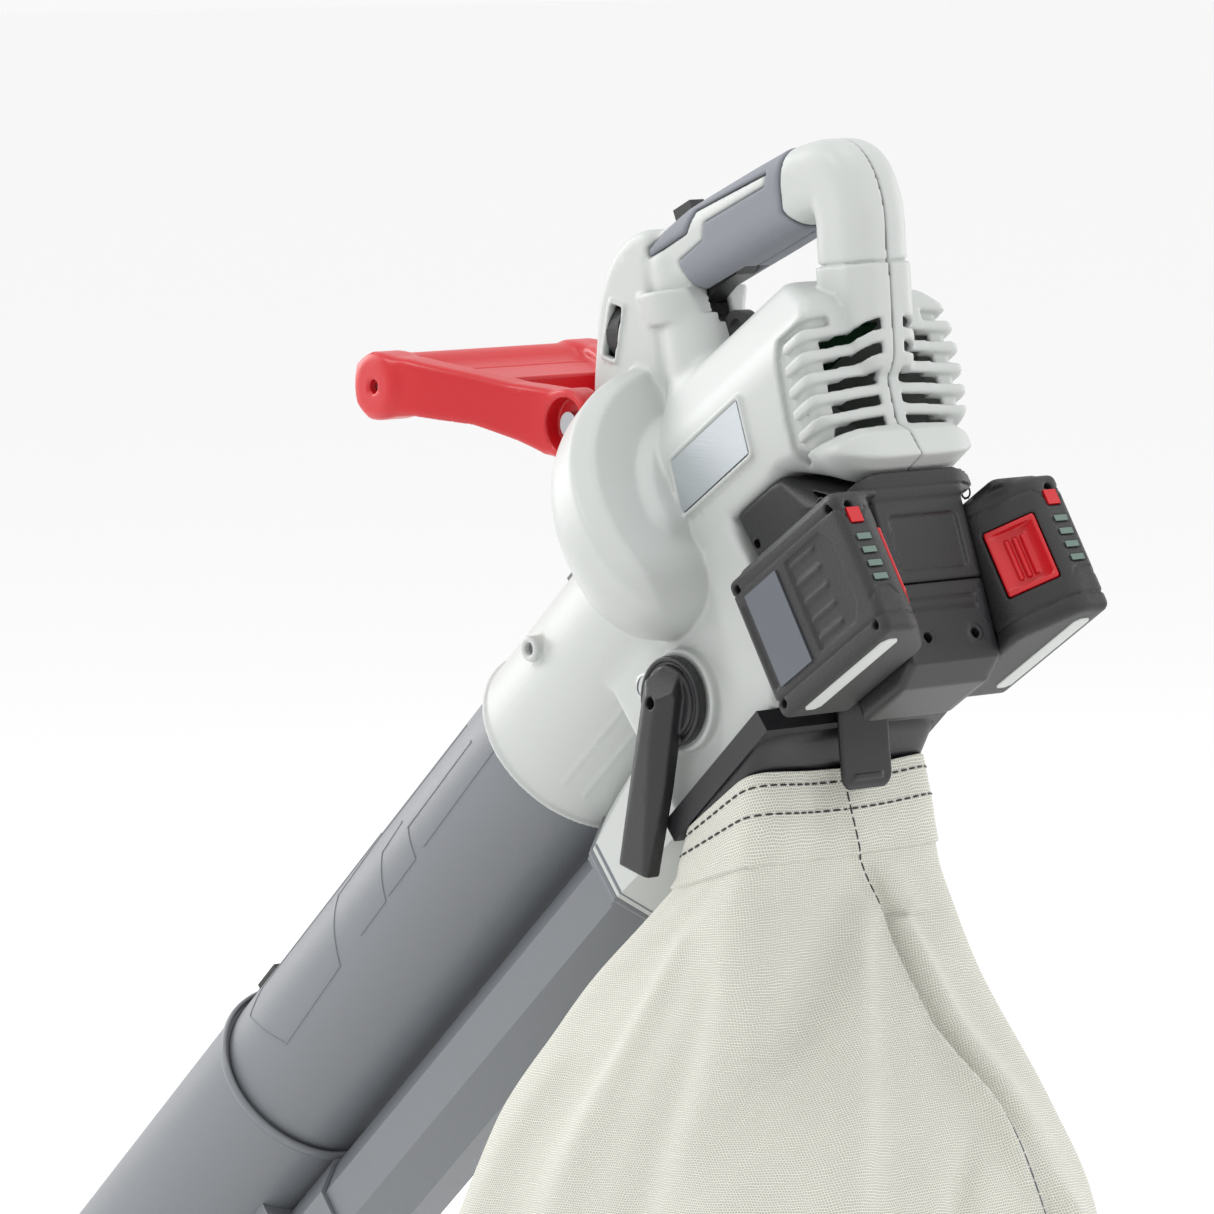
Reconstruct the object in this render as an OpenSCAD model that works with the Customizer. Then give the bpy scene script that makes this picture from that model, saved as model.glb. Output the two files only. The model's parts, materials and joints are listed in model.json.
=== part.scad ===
// Hand-held battery leaf blower, vacuum and mulcher with a collection bag.
// Row frame: origin in the middle of the hand grip, +Z up, +X to the rear, -Y on the user's left.
// The machine is drawn as it is carried, with its two tubes sloping down to the front.
// Three local frames share the fan's centre: fan() lies along the tubes, body() along the
// motor housing and the batteries, and level() is upright.

/* [Pose] */
// Slope of both tubes below the horizontal
tube_pitch = 42; // [35:1:48]
// Slope of the motor housing and of the batteries
body_pitch = 34; // [28:1:38]
// Height of the grip's middle above the fan's centre
grip_h = 150; // [146:1:156]

/* [Tubes] */
// Outer radius of the suction tube
suction_r = 50; // [48:0.5:52]
// Outer radius of the blow tube, to its corners
blow_r = 30; // [28:0.5:31]
// Distance between the axes of the two tubes
tube_gap = 84; // [82:0.5:88]
// Wall thickness of the tubes
tube_wall = 2.4; // [1.6:0.2:3]
// Length of the upper tubes
upper_len = 370; // [300:5:380]
// Height of the suction mouth below the fan's centre
mouth_drop = 640; // [600:5:660]

/* [Fan] */
// Outer radius of the fan's casing
volute_r = 101; // [98:0.5:102]
// Width of the fan's casing
volute_w = 56; // [54:0.5:58]
// Radius of the impeller
impeller_r = 60; // [56:1:62]
// Radius of the motor
motor_r = 18; // [17:0.5:19]
// Number of blades on the impeller
blade_count = 10; // [8:1:12]

/* [Housing] */
// Wall thickness of the housing
shell = 3; // [2.4:0.2:3.4]
// Half the width of the motor housing
body_half = 50; // [48:0.5:52]
// Number of cooling slots on each side of the rear face
slot_count = 5; // [3:1:5]
// Radius of the handle's posts
post_r = 18; // [17:0.5:19]

/* [Batteries] */
// Length of a battery along the way it slides
battery_len = 90; // [86:1:92]
// Height of a battery
battery_h = 73; // [70:1:76]
// Thickness of a battery
battery_t = 42; // [40:1:44]
// Distance between the outer faces of the two batteries
battery_span = 142; // [140:1:144]

/* [Bag] */
// Half the width of the bag's frame
frame_half = 58; // [56:1:60]
// Depth of the bag's floor below the fan's centre
bag_drop = 500; // [460:10:520]

/* [Hidden] */
$fn = 64;
gap = 0.3;
past = 1;

white = "gainsboro";
grey = "slategray";
dark = [0.14, 0.14, 0.15];
red = [0.85, 0.1, 0.12];

// Tubes, along the fan's axis
collar_front = -168;
suction_top = -132;
joint_at = suction_top - upper_len;
suction_in = suction_r - tube_wall;
sleeve_r = suction_r + gap + tube_wall;
collar_r = sleeve_r + 1;
boss_x = -109;
boss_z = 20;
boss_y = 51;
blow_top = -150;
blow_joint = blow_top - upper_len + 20;
blow_end = -850;
duct_front = -80;

// Fan casing, along the fan's axis
fan_front = -34;
fan_rear = fan_front + volute_w;

// Flap and lever
flap_x = -34;
flap_z = -66;
shaft_r = 5;
lever_lean = 12;
side_half = 48;
outlet_z = -106;
outlet_front = -70;
outlet_rear = 6;

// Batteries, in the body frame
battery_x = 56;
battery_top = -49;
battery_in = battery_span / 2 - battery_t;
dock_half = battery_in - gap;

// Handle loop, upright, measured from the fan's centre
post_base = [94, 112];
post_top = [84, 179];
grip_rear = [50, 174];
grip_front = [-38, 133];
trunk_top = [-33, 84];
grip_r = 19;
front_post_r = 21;
trigger_at = [-8, 127];
pin_at = [6, 140];
bar_at = [-200, 66];
pivot_at = [-92, 52];
lock_at = [-37, 141];
grip_slope = atan2(grip_rear.y - grip_front.y, grip_rear.x - grip_front.x);
dial_at = [-72, 99];
dial_y = -4;
dial_r = 17.5;
eye_at = [60, 85.5];
case_screws = [[66, 60], [104, 34], [60, 4]];
slot_droop = 9;

// Corner that the release button's sloping face cuts off, and that face's own frame
button_turn = 48;
button_depth = 16.5;
button_mid = 1.7;

module level() {
    translate([0, 0, -grip_h]) children();
}

module fan() {
    level() rotate([0, -tube_pitch, 0]) children();
}

module body() {
    level() rotate([0, -body_pitch, 0]) children();
}

// A round bar from one point to another in the upright middle plane
module bar(a, b, r) {
    run = b - a;
    len = norm(run);
    translate([a.x, 0, a.y]) rotate([0, atan2(run.x, run.y), 0]) cylinder(r = r, h = len);
}

// A side profile, given as points in X and Z, with the same width to both sides
module side_plate(points, half) {
    rotate([90, 0, 0]) linear_extrude(2 * half, center = true) polygon(points);
}

// A round tube along the fan's axis, from one station to another
module pipe(from, to, r, z = 0, sides = 64) {
    translate([from, 0, z]) rotate([0, 90, 0]) rotate(180 / sides) cylinder(r = r, h = to - from, $fn = sides);
}

// A pin across the machine
module cross_pin(x, z, r, from, to) {
    translate([x, to, z]) rotate([90, 0, 0]) cylinder(r = r, h = to - from);
}

module half(side) {
    intersection() {
        children();
        translate([-400, side < 0 ? -200 : 0, -400]) cube([800, 200, 800]);
    }
}

// ---- housing ----

module volute_form(grow) {
    r = volute_r + grow;
    front = fan_front - grow;
    rear = fan_rear + grow;
    difference() {
        rotate([0, 90, 0]) rotate_extrude()
            polygon([
                [0, front], [r - 27, front], [r - 17, front + 9], [r, front + 26],
                [r, rear - 9], [r - 9, rear], [0, rear]
            ]);
        translate([-200, -200, -243 - grow]) cube([400, 400, 200]);
    }
}

module duct_form(grow) {
    side_plate([
        [duct_front - grow, -20], [duct_front - grow, outlet_z], [14 + grow, outlet_z],
        [46 + grow, -70], [46 + grow, -20]
    ], side_half + grow);
}

// Cross-section of the motor housing: upright sides, sloping shoulders and a flat ridge
module body_section(grow) {
    half = body_half + grow;
    ridge = 77 + grow;
    rotate([90, 0, 90]) linear_extrude(170) polygon([
        [-half + 6, -34 - grow], [-half, -6], [-half, 38], [-22, ridge],
        [22, ridge], [half, 38], [half, -6], [half - 6, -34 - grow]
    ]);
}

module body_form(grow) {
    intersection() {
        side_plate([
            [20, -60], [20, 100], [95, 100], [124 + grow, 70 + grow], [145 + grow, 52 + grow],
            [148 + grow, 44], [132 + grow, -12], [138 + grow, -31], [118, -33 - grow],
            [94, -12 - grow], [52, -12 - grow], [44, -60]
        ], body_half + 10);
        body_section(grow);
    }
}

module trunk_form(grow) {
    side_plate([
        [-93 - grow, 46], [-86 - grow, 112], [-72 - grow, 137 + grow], [-56, 148 + grow],
        [-20, 140], [-18, 100], [4, 84], [28, 60], [-40, 10]
    ], 19 + grow);
}

module handle_form(grow) {
    bar(post_base, post_top, post_r + grow);
    translate([post_top.x, 0, post_top.y]) sphere(post_r + grow + 0.4);
    bar(post_top, grip_rear, post_r + grow - 0.3);
    translate([grip_rear.x, 0, grip_rear.y]) sphere(grip_r + grow + 0.3);
    bar(grip_rear, grip_front, grip_r + grow);
    translate([grip_front.x, 0, grip_front.y]) sphere(front_post_r + grow + 0.3);
    bar(grip_front, trunk_top, front_post_r + grow);
}

module cooling_slots() {
    for (side = [0, 1], i = [0 : slot_count - 1])
        mirror([0, side, 0]) body() translate([104 - 3 * i, 6.5, 33 - 10 * i])
            rotate([-slot_droop, 0, 0]) translate([0, 0, -2.5]) cube([60, 28, 5]);
}

module housing_form(grow) {
    fan() {
        volute_form(grow);
        duct_form(grow);
    }
    body() body_form(grow);
    level() {
        trunk_form(grow);
        handle_form(grow);
    }
}

// Everything that is cut out of both halves of the housing
module housing_cuts() {
    fan() {
        pipe(collar_front - past, fan_front + 8, suction_r + gap);
        translate([outlet_front, -44, outlet_z - 8]) cube([outlet_rear - outlet_front, 88, 20]);
        pipe(duct_front - 8, duct_front + 8, blow_r + 2, -tube_gap, 8);
        cross_pin(flap_x, flap_z, shaft_r + 0.05, -80, 80);
        pipe(fan_rear + 1, fan_rear + 67, motor_r + gap);
        pipe(fan_rear - shell - past, fan_rear + 8 + gap, motor_r + 3 + gap);
    }
    cooling_slots();
    level() {
        translate([trigger_at.x - 24, -6.5, trigger_at.y - 20]) cube([44, 13, 40]);
        translate([dial_at.x - 5.5, -24, dial_at.y - 13]) cube([11, 13, 26]);
        translate([lock_at.x, -5, lock_at.y]) rotate([0, -grip_slope, 0]) translate([-0.5, 0, 0]) cube([15, 10, 30]);
    }
    // The base of the batteries' dock closes the underside of the motor housing
    body() translate([54, -38, -50]) cube([70, 76, 44]);
    level() cross_pin(pin_at.x, pin_at.y, 2, -13, 13);
}

module housing(side) {
    half(side) difference() {
        union() {
            housing_form(0);
            fan() pipe(collar_front, fan_front + 4, collar_r);
            fan() for (s = [-1, 1]) cross_pin(flap_x, flap_z, 25, s * 51 - 3, s * 51 + 3);
            fan() for (s = [-1, 1]) cross_pin(boss_x, boss_z, 6.5, s * boss_y - 6, s * boss_y + 6);
            level() cross_pin(pivot_at.x, pivot_at.y, 13, -16, 16);
        }
        difference() {
            housing_form(-shell);
            fan() pipe(collar_front, fan_front + shell + past, collar_r);
        }
        housing_cuts();
        fan() for (s = [-1, 1]) cross_pin(boss_x, boss_z, 3.2, s * boss_y - 8, s * boss_y + 8);
        level() cross_pin(pivot_at.x, pivot_at.y, 4.05, -40, 40);
        if (side > 0) body() for (p = case_screws) cross_pin(p.x, p.y, 3.8, 30, 70);
    }
}

module housing_left() {
    color(white) housing(-1);
}

module housing_right() {
    color(white) housing(1);
}

module blow_duct() {
    wall = 3;
    color(white) fan() difference() {
        hull() {
            pipe(collar_front + 8, collar_front + 40, blow_r + 7, -tube_gap, 8);
            translate([duct_front - 2 - gap, -40, outlet_z]) cube([2, 80, 46]);
        }
        hull() {
            pipe(collar_front + 7, collar_front + 41, blow_r + 7 - wall, -tube_gap, 8);
            translate([duct_front - gap - 1.8, -36, outlet_z + 4]) cube([2, 72, 38]);
        }
        pipe(collar_front - 10, 0, collar_r + gap);
        pipe(collar_front, duct_front - 40, blow_r + 0.5, -tube_gap, 8);
    }
}

module housing_screws() {
    color("silver") body() for (p = case_screws) {
        head = p.y > 50 ? body_half - 20 : body_half - 4;
        cross_pin(p.x, p.y, 3.5, head, head + 2.5);
        cross_pin(p.x, p.y, 1.8, head - 16, head + 0.1);
    }
}

module badge() {
    color("lightgray") body()
        translate([0, -body_half - 0.1, 0]) rotate([90, 0, 0]) linear_extrude(1.2)
            polygon([[26, 5], [84, 5], [90, 30], [32, 30]]);
}

// ---- handle ----

module grip_skin(side) {
    run = grip_front - grip_rear;
    color(grey) level() intersection() {
        difference() {
            bar(grip_rear + 0.1 * run, grip_rear + 0.72 * run, grip_r + 2);
            bar(grip_rear, grip_front, grip_r + 0.1);
            translate([trigger_at.x - 26, -9, trigger_at.y - 30]) cube([50, 18, 50]);
        }
        translate([-60, side < 0 ? -40 : 0.05, 90]) cube([120, 40 - 0.05, 140]);
    }
}

module grip_left() {
    grip_skin(-1);
}

module grip_right() {
    grip_skin(1);
}

module trigger() {
    color(dark) level() difference() {
        side_plate([[-29, 119], [-27, 132], [8, 146], [12, 140], [4, 130.5], [-8, 124.5], [-20, 115]], 6);
        cross_pin(pin_at.x, pin_at.y, 2.05, -20, 20);
    }
}

module trigger_pin() {
    color("silver") level() cross_pin(pin_at.x, pin_at.y, 2, -13, 13);
}

module lock_button() {
    color(dark) level() translate([lock_at.x, -4.5, lock_at.y]) rotate([0, -grip_slope, 0]) cube([14, 9, 20]);
}

// A thumbwheel that lies along the machine, with its rim standing out of the left side
module speed_dial() {
    color(dark) level() translate([dial_at.x, dial_y, dial_at.y]) rotate([0, 90, 0]) {
        translate([0, 0, -4.5]) cylinder(r = dial_r, h = 9);
        translate([0, 0, -7]) cylinder(r = 2.5, h = 21);
    }
}

module speed_sensor() {
    color("dimgray") level() difference() {
        translate([dial_at.x + 6, dial_y - 6, dial_at.y - 6]) cube([7, 12, 12]);
        translate([dial_at.x, dial_y, dial_at.y]) rotate([0, 90, 0]) cylinder(r = 2.55, h = 30);
    }
}

module trigger_switch() {
    color("dimgray") level() translate([-36, -8, 140]) rotate([0, -25, 0]) translate([16, 0, 0]) cube([22, 16, 8]);
}

module circuit_board() {
    color("darkgreen") body() translate([66, -30, 52]) cube([50, 60, 1.6]);
}

module strap_eye() {
    color(dark) body() difference() {
        union() {
            translate([eye_at.x - 11, -4, 77.2]) cube([22, 8, 4]);
            translate([eye_at.x - 8.5, -4, 77.2]) cube([17, 8, eye_at.y - 77.2]);
            cross_pin(eye_at.x, eye_at.y, 8.6, -4, 4);
        }
        cross_pin(eye_at.x, eye_at.y, 4.5, -10, 10);
    }
}

module front_handle() {
    color(red) level() difference() {
        union() {
            cross_pin(bar_at.x, bar_at.y, 16, -72, 72);
            for (s = [-1, 1]) {
                hull() {
                    cross_pin(bar_at.x, bar_at.y - 4, 12, s * 54 - 8, s * 54 + 8, $fn = 32);
                    cross_pin(pivot_at.x - 26, pivot_at.y, 14, s * 26 - 5, s * 26 + 5, $fn = 32);
                }
                cross_pin(pivot_at.x, pivot_at.y, 17, s * 26.5 - 7, s * 26.5 + 7);
                hull() {
                    cross_pin(pivot_at.x - 26, pivot_at.y, 14, s * 26 - 5, s * 26 + 5, $fn = 32);
                    cross_pin(pivot_at.x - 4, pivot_at.y, 14, s * 26 - 6, s * 26 + 6, $fn = 32);
                }
            }
        }
        cross_pin(pivot_at.x, pivot_at.y, 4.05, -60, 60);
        for (s = [-1, 1])
            cross_pin(pivot_at.x, pivot_at.y, 11, s * 34 - 5, s * 34 + 5);
    }
}

module front_handle_bolt() {
    color("silver") level() {
        cross_pin(pivot_at.x, pivot_at.y, 4, -29, 34);
        cross_pin(pivot_at.x, pivot_at.y, 6.5, -33, -29.1);
    }
}

module front_handle_knob() {
    color(dark) level() difference() {
        union() {
            cross_pin(pivot_at.x, pivot_at.y, 10.5, 29.2, 40);
            cross_pin(pivot_at.x, pivot_at.y, 16, 39, 52, $fn = 12);
        }
        cross_pin(pivot_at.x, pivot_at.y, 4.05, 28, 36);
    }
}

// ---- fan and motor ----

module motor_mount() {
    color(dark) fan() difference() {
        union() {
            pipe(fan_rear - 2 * shell - 2, fan_rear - shell - 0.5, 40);
            pipe(fan_rear - shell - 0.6, fan_rear + 8, motor_r + 3);
        }
        pipe(fan_rear + 2, fan_rear + 9, motor_r + 0.2);
        pipe(0, 100, 9.05);
    }
}

module motor() {
    color("dimgray") fan() difference() {
        pipe(fan_rear + 2.2, fan_rear + 66, motor_r);
        pipe(fan_rear + 5, fan_rear + 63, motor_r - 3);
        pipe(fan_rear, fan_rear + 70, 9.05);
    }
}

module motor_shaft() {
    color("silver") fan() {
        pipe(fan_rear - 52, fan_rear + 72, 4);
        pipe(fan_rear + 14, fan_rear + 54, motor_r - 5);
    }
}

module bearing(at) {
    color("silver") fan() difference() {
        pipe(at, at + 7, 9);
        pipe(at - 1, at + 8, 4.05);
    }
}

module front_bearing() {
    bearing(fan_rear - 5);
}

module rear_bearing() {
    bearing(fan_rear + 60);
}

module impeller() {
    color("dimgray") fan() difference() {
        union() {
            pipe(fan_rear - 15, fan_rear - 12, impeller_r);
            pipe(fan_rear - 44, fan_rear - 8.2, 14);
            for (i = [0 : blade_count - 1])
                rotate([i * 360 / blade_count, 0, 0]) translate([fan_rear - 36, -1.5, 12]) cube([22, 3, impeller_r - 14]);
        }
        pipe(fan_rear - 50, fan_rear, 4);
    }
}

module mulching_blade() {
    color("silver") fan() difference() {
        union() {
            translate([fan_rear - 46.1, -7, -40]) cube([1.9, 14, 80]);
            pipe(fan_rear - 46.3, fan_rear - 44.05, 14);
        }
        pipe(fan_rear - 48, fan_rear - 40, 4);
    }
}

module fan_nut() {
    color("silver") fan() difference() {
        pipe(fan_rear - 53, fan_rear - 46.4, 8, 0, 6);
        pipe(fan_rear - 54, fan_rear - 45, 4);
    }
}

// ---- flap between blowing and bagging ----

module mode_lever() {
    color(dark) fan() difference() {
        union() {
            cross_pin(flap_x, flap_z, 22, -60, -54.3);
            translate([flap_x, 0, flap_z]) rotate([0, tube_pitch + lever_lean, 0]) {
                hull() {
                    translate([-9, -70, 0]) cube([18, 10.5, 2]);
                    translate([-13, -72, -54]) cube([26, 12.5, 2]);
                    translate([-11, -68, -86]) cube([22, 8.5, 2]);
                }
                translate([-8, -68, -2]) cube([16, 8.5, 18]);
            }
        }
        cross_pin(flap_x, flap_z, 3, -64, -50);
    }
}

module flap_shaft() {
    color("silver") fan() {
        cross_pin(flap_x, flap_z, shaft_r, -54.2, 54);
        cross_pin(flap_x, flap_z, 3, -63, -54);
    }
}

module flap() {
    color("dimgray") fan() difference() {
        union() {
            cross_pin(flap_x, flap_z, 7.5, -43, 43);
            translate([flap_x, 0, flap_z]) rotate([0, 62, 0]) translate([6, -42, -1.5]) cube([30, 84, 3]);
        }
        cross_pin(flap_x, flap_z, shaft_r, -60, 60);
    }
}

module lever_spring() {
    color("silver") fan() difference() {
        cross_pin(flap_x, flap_z, 9, 54.4, 60);
        cross_pin(flap_x, flap_z, 7, 50, 70);
    }
}

// ---- tubes ----

module suction_tube_upper() {
    color(grey) fan() difference() {
        pipe(joint_at, suction_top, suction_r);
        pipe(joint_at - 1, suction_top + 1, suction_in);
    }
}

module suction_tube_lower() {
    color(grey) fan() difference() {
        pipe(-1030, joint_at + 26, sleeve_r);
        pipe(-1031, joint_at + 27, suction_r + gap);
        rotate([0, tube_pitch, 0]) translate([-1200, -100, -mouth_drop - 400]) cube([1000, 200, 400]);
    }
}

module blow_tube_upper() {
    color(grey) fan() difference() {
        union() {
            pipe(blow_joint, blow_top + 14, blow_r, -tube_gap, 8);
            pipe(blow_top - 16, collar_front + 7.6, blow_r + 6, -tube_gap, 8);
        }
        pipe(blow_joint - 1, blow_top + 15, blow_r - tube_wall, -tube_gap, 8);
        pipe(blow_top - 30, collar_front + 9, suction_r + sleeve_r - suction_r + 2);
    }
}

module blow_tube_lower() {
    sleeve = blow_r + gap + tube_wall;
    color(grey) fan() difference() {
        union() {
            pipe(blow_end + 60, blow_joint + 24, sleeve, -tube_gap, 8);
            translate([blow_end, 0, -tube_gap]) rotate([0, 90, 0]) cylinder(r1 = 24, r2 = sleeve - 3, h = 62);
        }
        pipe(blow_end + 60, blow_joint + 25, blow_r + gap, -tube_gap, 8);
        pipe(blow_end - 1, blow_end + 61, 21, -tube_gap);
    }
}

module collar_clip() {
    color(grey) fan() {
        translate([-112, -8, collar_r + 0.4]) cube([30, 16, 5]);
        translate([-112, -8, collar_r + 5]) cube([16, 16, 3]);
    }
}

module joint_clip() {
    color(dark) fan() {
        translate([joint_at + 27, -9, suction_r + 0.5]) cube([20, 18, 7]);
        translate([joint_at - 2, -6, sleeve_r + 0.4]) cube([30, 12, 4]);
    }
}

module tube_link() {
    color(grey) fan() for (x = [-560, -760]) difference() {
        translate([x, -27, -tube_gap + 4]) cube([30, 54, 40]);
        pipe(x - 1, x + 31, sleeve_r + 0.1);
        pipe(x - 1, x + 31, blow_r + gap + tube_wall + 0.2, -tube_gap, 8);
    }
}

module tube_screws() {
    color("silver") fan() {
        for (s = [-1, 1]) {
            cross_pin(boss_x, boss_z, 3, s * (boss_y + 1.2) - 1.2, s * (boss_y + 1.2) + 1.2);
            cross_pin(boss_x, boss_z, 1.8, s * (boss_y - 2) - 2.1, s * (boss_y - 2) + 2.1);
        }
    }
}

module wheel_bracket() {
    color(dark) fan() difference() {
        union() {
            translate([-890, -34, -74]) cube([38, 8, 50]);
            translate([-890, 26, -74]) cube([38, 8, 50]);
            translate([-890, -34, -62]) cube([38, 68, 5]);
            for (s = [-1, 1]) cross_pin(-865, -78, 9, s * 30 - 4, s * 30 + 4);
        }
        pipe(-900, -800, sleeve_r + 0.1);
        cross_pin(-865, -78, 3.05, -50, 50);
    }
}

module wheel_axle() {
    color("silver") fan() {
        for (s = [-1, 1]) {
            cross_pin(-865, -78, 3, s * 40.6 - 14.4, s * 40.6 + 14.4);
            cross_pin(-865, -78, 5, s * 54 - 2, s * 54 + 2);
        }
    }
}

module wheel(side) {
    color(dark) fan() difference() {
        cross_pin(-865, -78, 26, side * 43 - 8, side * 43 + 8);
        cross_pin(-865, -78, 3.05, -60, 60);
        for (s = [-1, 1]) cross_pin(-865, -78, 18, side * 43 + s * 8 - 3, side * 43 + s * 8 + 3);
    }
    color(dark) fan() difference() {
        cross_pin(-865, -78, 8, side * 43 - 7.9, side * 43 + 7.9);
        cross_pin(-865, -78, 3.05, -60, 60);
    }
}

module wheel_left() {
    wheel(-1);
}

module wheel_right() {
    wheel(1);
}

// ---- battery dock and batteries ----

// The dock's upper part is a tray that closes the underside of the motor housing
module dock_base() {
    color(dark) body() difference() {
        union() {
            side_plate([[54.3, -13], [92, -13], [116, -34], [131, -34], [126, -46], [58, -46]], 44);
            side_plate([[62, -45], [126, -45], [117, -86], [62, -86]], dock_half);
        }
        side_plate([[58, 0], [90, 0], [90, -16], [110, -34], [120, -38], [118, -42], [61, -42]], 40);
        side_plate([[66, -40], [120, -40], [113, -83], [66, -83]], dock_half - 4);
    }
}

module dock_lower() {
    color(dark) body() difference() {
        side_plate([[62, -86.2], [117, -86.2], [108, -124], [94, -130], [62, -130]], dock_half);
        side_plate([[66, -80], [113, -80], [104, -121], [92, -126], [66, -126]], dock_half - 4);
    }
}

module dock_contacts() {
    color("gold") body() for (s = [-1, 1], z = [-70, -62, -104, -112])
        translate([70, s * (dock_half + 2) - 1.9, z]) cube([24, 3.8, 0.8]);
}

// The left battery's parts; the right battery's are their mirror image
module at_button() {
    translate([battery_x + battery_len, -battery_in, battery_top - battery_h])
        rotate([0, 0, button_turn]) translate([-button_depth, button_mid, 0]) children();
}

module battery() {
    color(dark) body() difference() {
        translate([battery_x, -battery_span / 2, battery_top - battery_h]) cube([battery_len, battery_t, battery_h]);
        at_button() translate([0, -40, -1]) cube([60, 80, battery_h + 2]);
        at_button() translate([-19, -13.4, 19.6]) cube([20, 26.8, 34.8]);
        translate([battery_x - 1, -battery_in - 5, battery_top - battery_h + 6]) cube([53, 6, battery_h - 12]);
        translate([battery_x + battery_len - 3.5, -66.1, battery_top - 17.1]) cube([4, 8.2, 8.2]);
    }
}

module release_button() {
    color(red) body() difference() {
        at_button() translate([-14, -13, 20]) cube([14.5, 26, 34]);
        at_button() for (i = [0 : 2]) translate([-0.6, -8, 30 + 6 * i]) cube([3, 16, 2]);
    }
}

module charge_key() {
    color(red) body() translate([battery_x + battery_len - 2.3, -65.8, battery_top - 16.8]) cube([2.8, 7.6, 7.6]);
}

module charge_lamps() {
    color("palegreen") body() for (i = [0 : 3])
        translate([battery_x + battery_len + 0.05, -66, battery_top - 26 - 7 * i]) cube([0.5, 8, 3]);
}

module battery_label() {
    color("dimgray") body()
        translate([battery_x + 10, -battery_span / 2 - 0.85, battery_top - 60]) cube([26, 0.8, 48]);
}

module battery_left() {
    battery();
}

module battery_right() {
    mirror([0, 1, 0]) battery();
}

module release_button_left() {
    release_button();
}

module release_button_right() {
    mirror([0, 1, 0]) release_button();
}

module charge_key_left() {
    charge_key();
}

module charge_key_right() {
    mirror([0, 1, 0]) charge_key();
}

module charge_lamps_left() {
    charge_lamps();
}

module charge_lamps_right() {
    mirror([0, 1, 0]) charge_lamps();
}

module battery_label_left() {
    battery_label();
}

module battery_label_right() {
    mirror([0, 1, 0]) battery_label();
}

// ---- bag ----

module bag_frame() {
    color(dark) fan() difference() {
        translate([outlet_front - 8, -frame_half, outlet_z - 12]) cube([outlet_rear - outlet_front + 16, 2 * frame_half, 11.6]);
        translate([outlet_front, -46, outlet_z - 20]) cube([outlet_rear - outlet_front, 92, 30]);
    }
}

module bag_latch() {
    color(dark) fan() difference() {
        union() {
            cross_pin(outlet_rear + 13, outlet_z - 5, 4, -14, 14);
            translate([outlet_rear + 13, -14, outlet_z - 25]) cube([3.4, 28, 20]);
        }
        cross_pin(outlet_rear + 13, outlet_z - 5, 2.05, -20, 20);
    }
}

module latch_pin() {
    color("silver") fan() cross_pin(outlet_rear + 13, outlet_z - 5, 2, -17, 17);
}

// Outer form of the bag: its side view crossed with its rear view
module bag_form() {
    level() intersection() {
        side_plate([
            [22, -143], [86, -85], [89, -110], [82, -160], [103, -227], [130, -269], [160, -324],
            [168, -400], [158, -bag_drop], [-96, -bag_drop], [-110, -400], [-104, -350], [-84, -295], [-15, -202]
        ], 110);
        rotate([90, 0, 90]) translate([0, 0, -200]) linear_extrude(500) polygon([
            [-frame_half, -60], [-frame_half, -166], [-74, -220], [-98, -310], [-104, -400], [-98, -bag_drop],
            [98, -bag_drop], [104, -400], [98, -310], [74, -220], [frame_half, -166], [frame_half, -60]
        ]);
    }
}

// The bag is one closed skin that is open at its frame
module bag() {
    centre = [30, 0, -grip_h - 320];
    color("ivory") difference() {
        bag_form();
        translate(centre) scale(0.95) translate(-centre) bag_form();
        fan() translate([outlet_front + 2, -44, outlet_z - 60]) cube([outlet_rear - outlet_front - 4, 88, 60]);
        fan() translate([-200, -100, outlet_z - 12.4]) cube([400, 200, 200]);
    }
}

housing_left();
housing_right();
blow_duct();
housing_screws();
badge();
grip_left();
grip_right();
trigger();
trigger_pin();
lock_button();
speed_dial();
speed_sensor();
trigger_switch();
circuit_board();
strap_eye();
front_handle();
front_handle_bolt();
front_handle_knob();
motor_mount();
motor();
motor_shaft();
front_bearing();
rear_bearing();
impeller();
mulching_blade();
fan_nut();
mode_lever();
flap_shaft();
flap();
lever_spring();
suction_tube_upper();
suction_tube_lower();
blow_tube_upper();
blow_tube_lower();
collar_clip();
joint_clip();
tube_link();
tube_screws();
wheel_bracket();
wheel_axle();
wheel_left();
wheel_right();
dock_base();
dock_lower();
dock_contacts();
battery_left();
battery_right();
release_button_left();
release_button_right();
charge_key_left();
charge_key_right();
charge_lamps_left();
charge_lamps_right();
battery_label_left();
battery_label_right();
bag_frame();
bag_latch();
latch_pin();
bag();
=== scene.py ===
"""Looks of the hand-held leaf vacuum mulcher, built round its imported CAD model."""

import json
import math

import bpy
import numpy as np
import openvdb as vdb
from mathutils import Matrix, Vector


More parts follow.
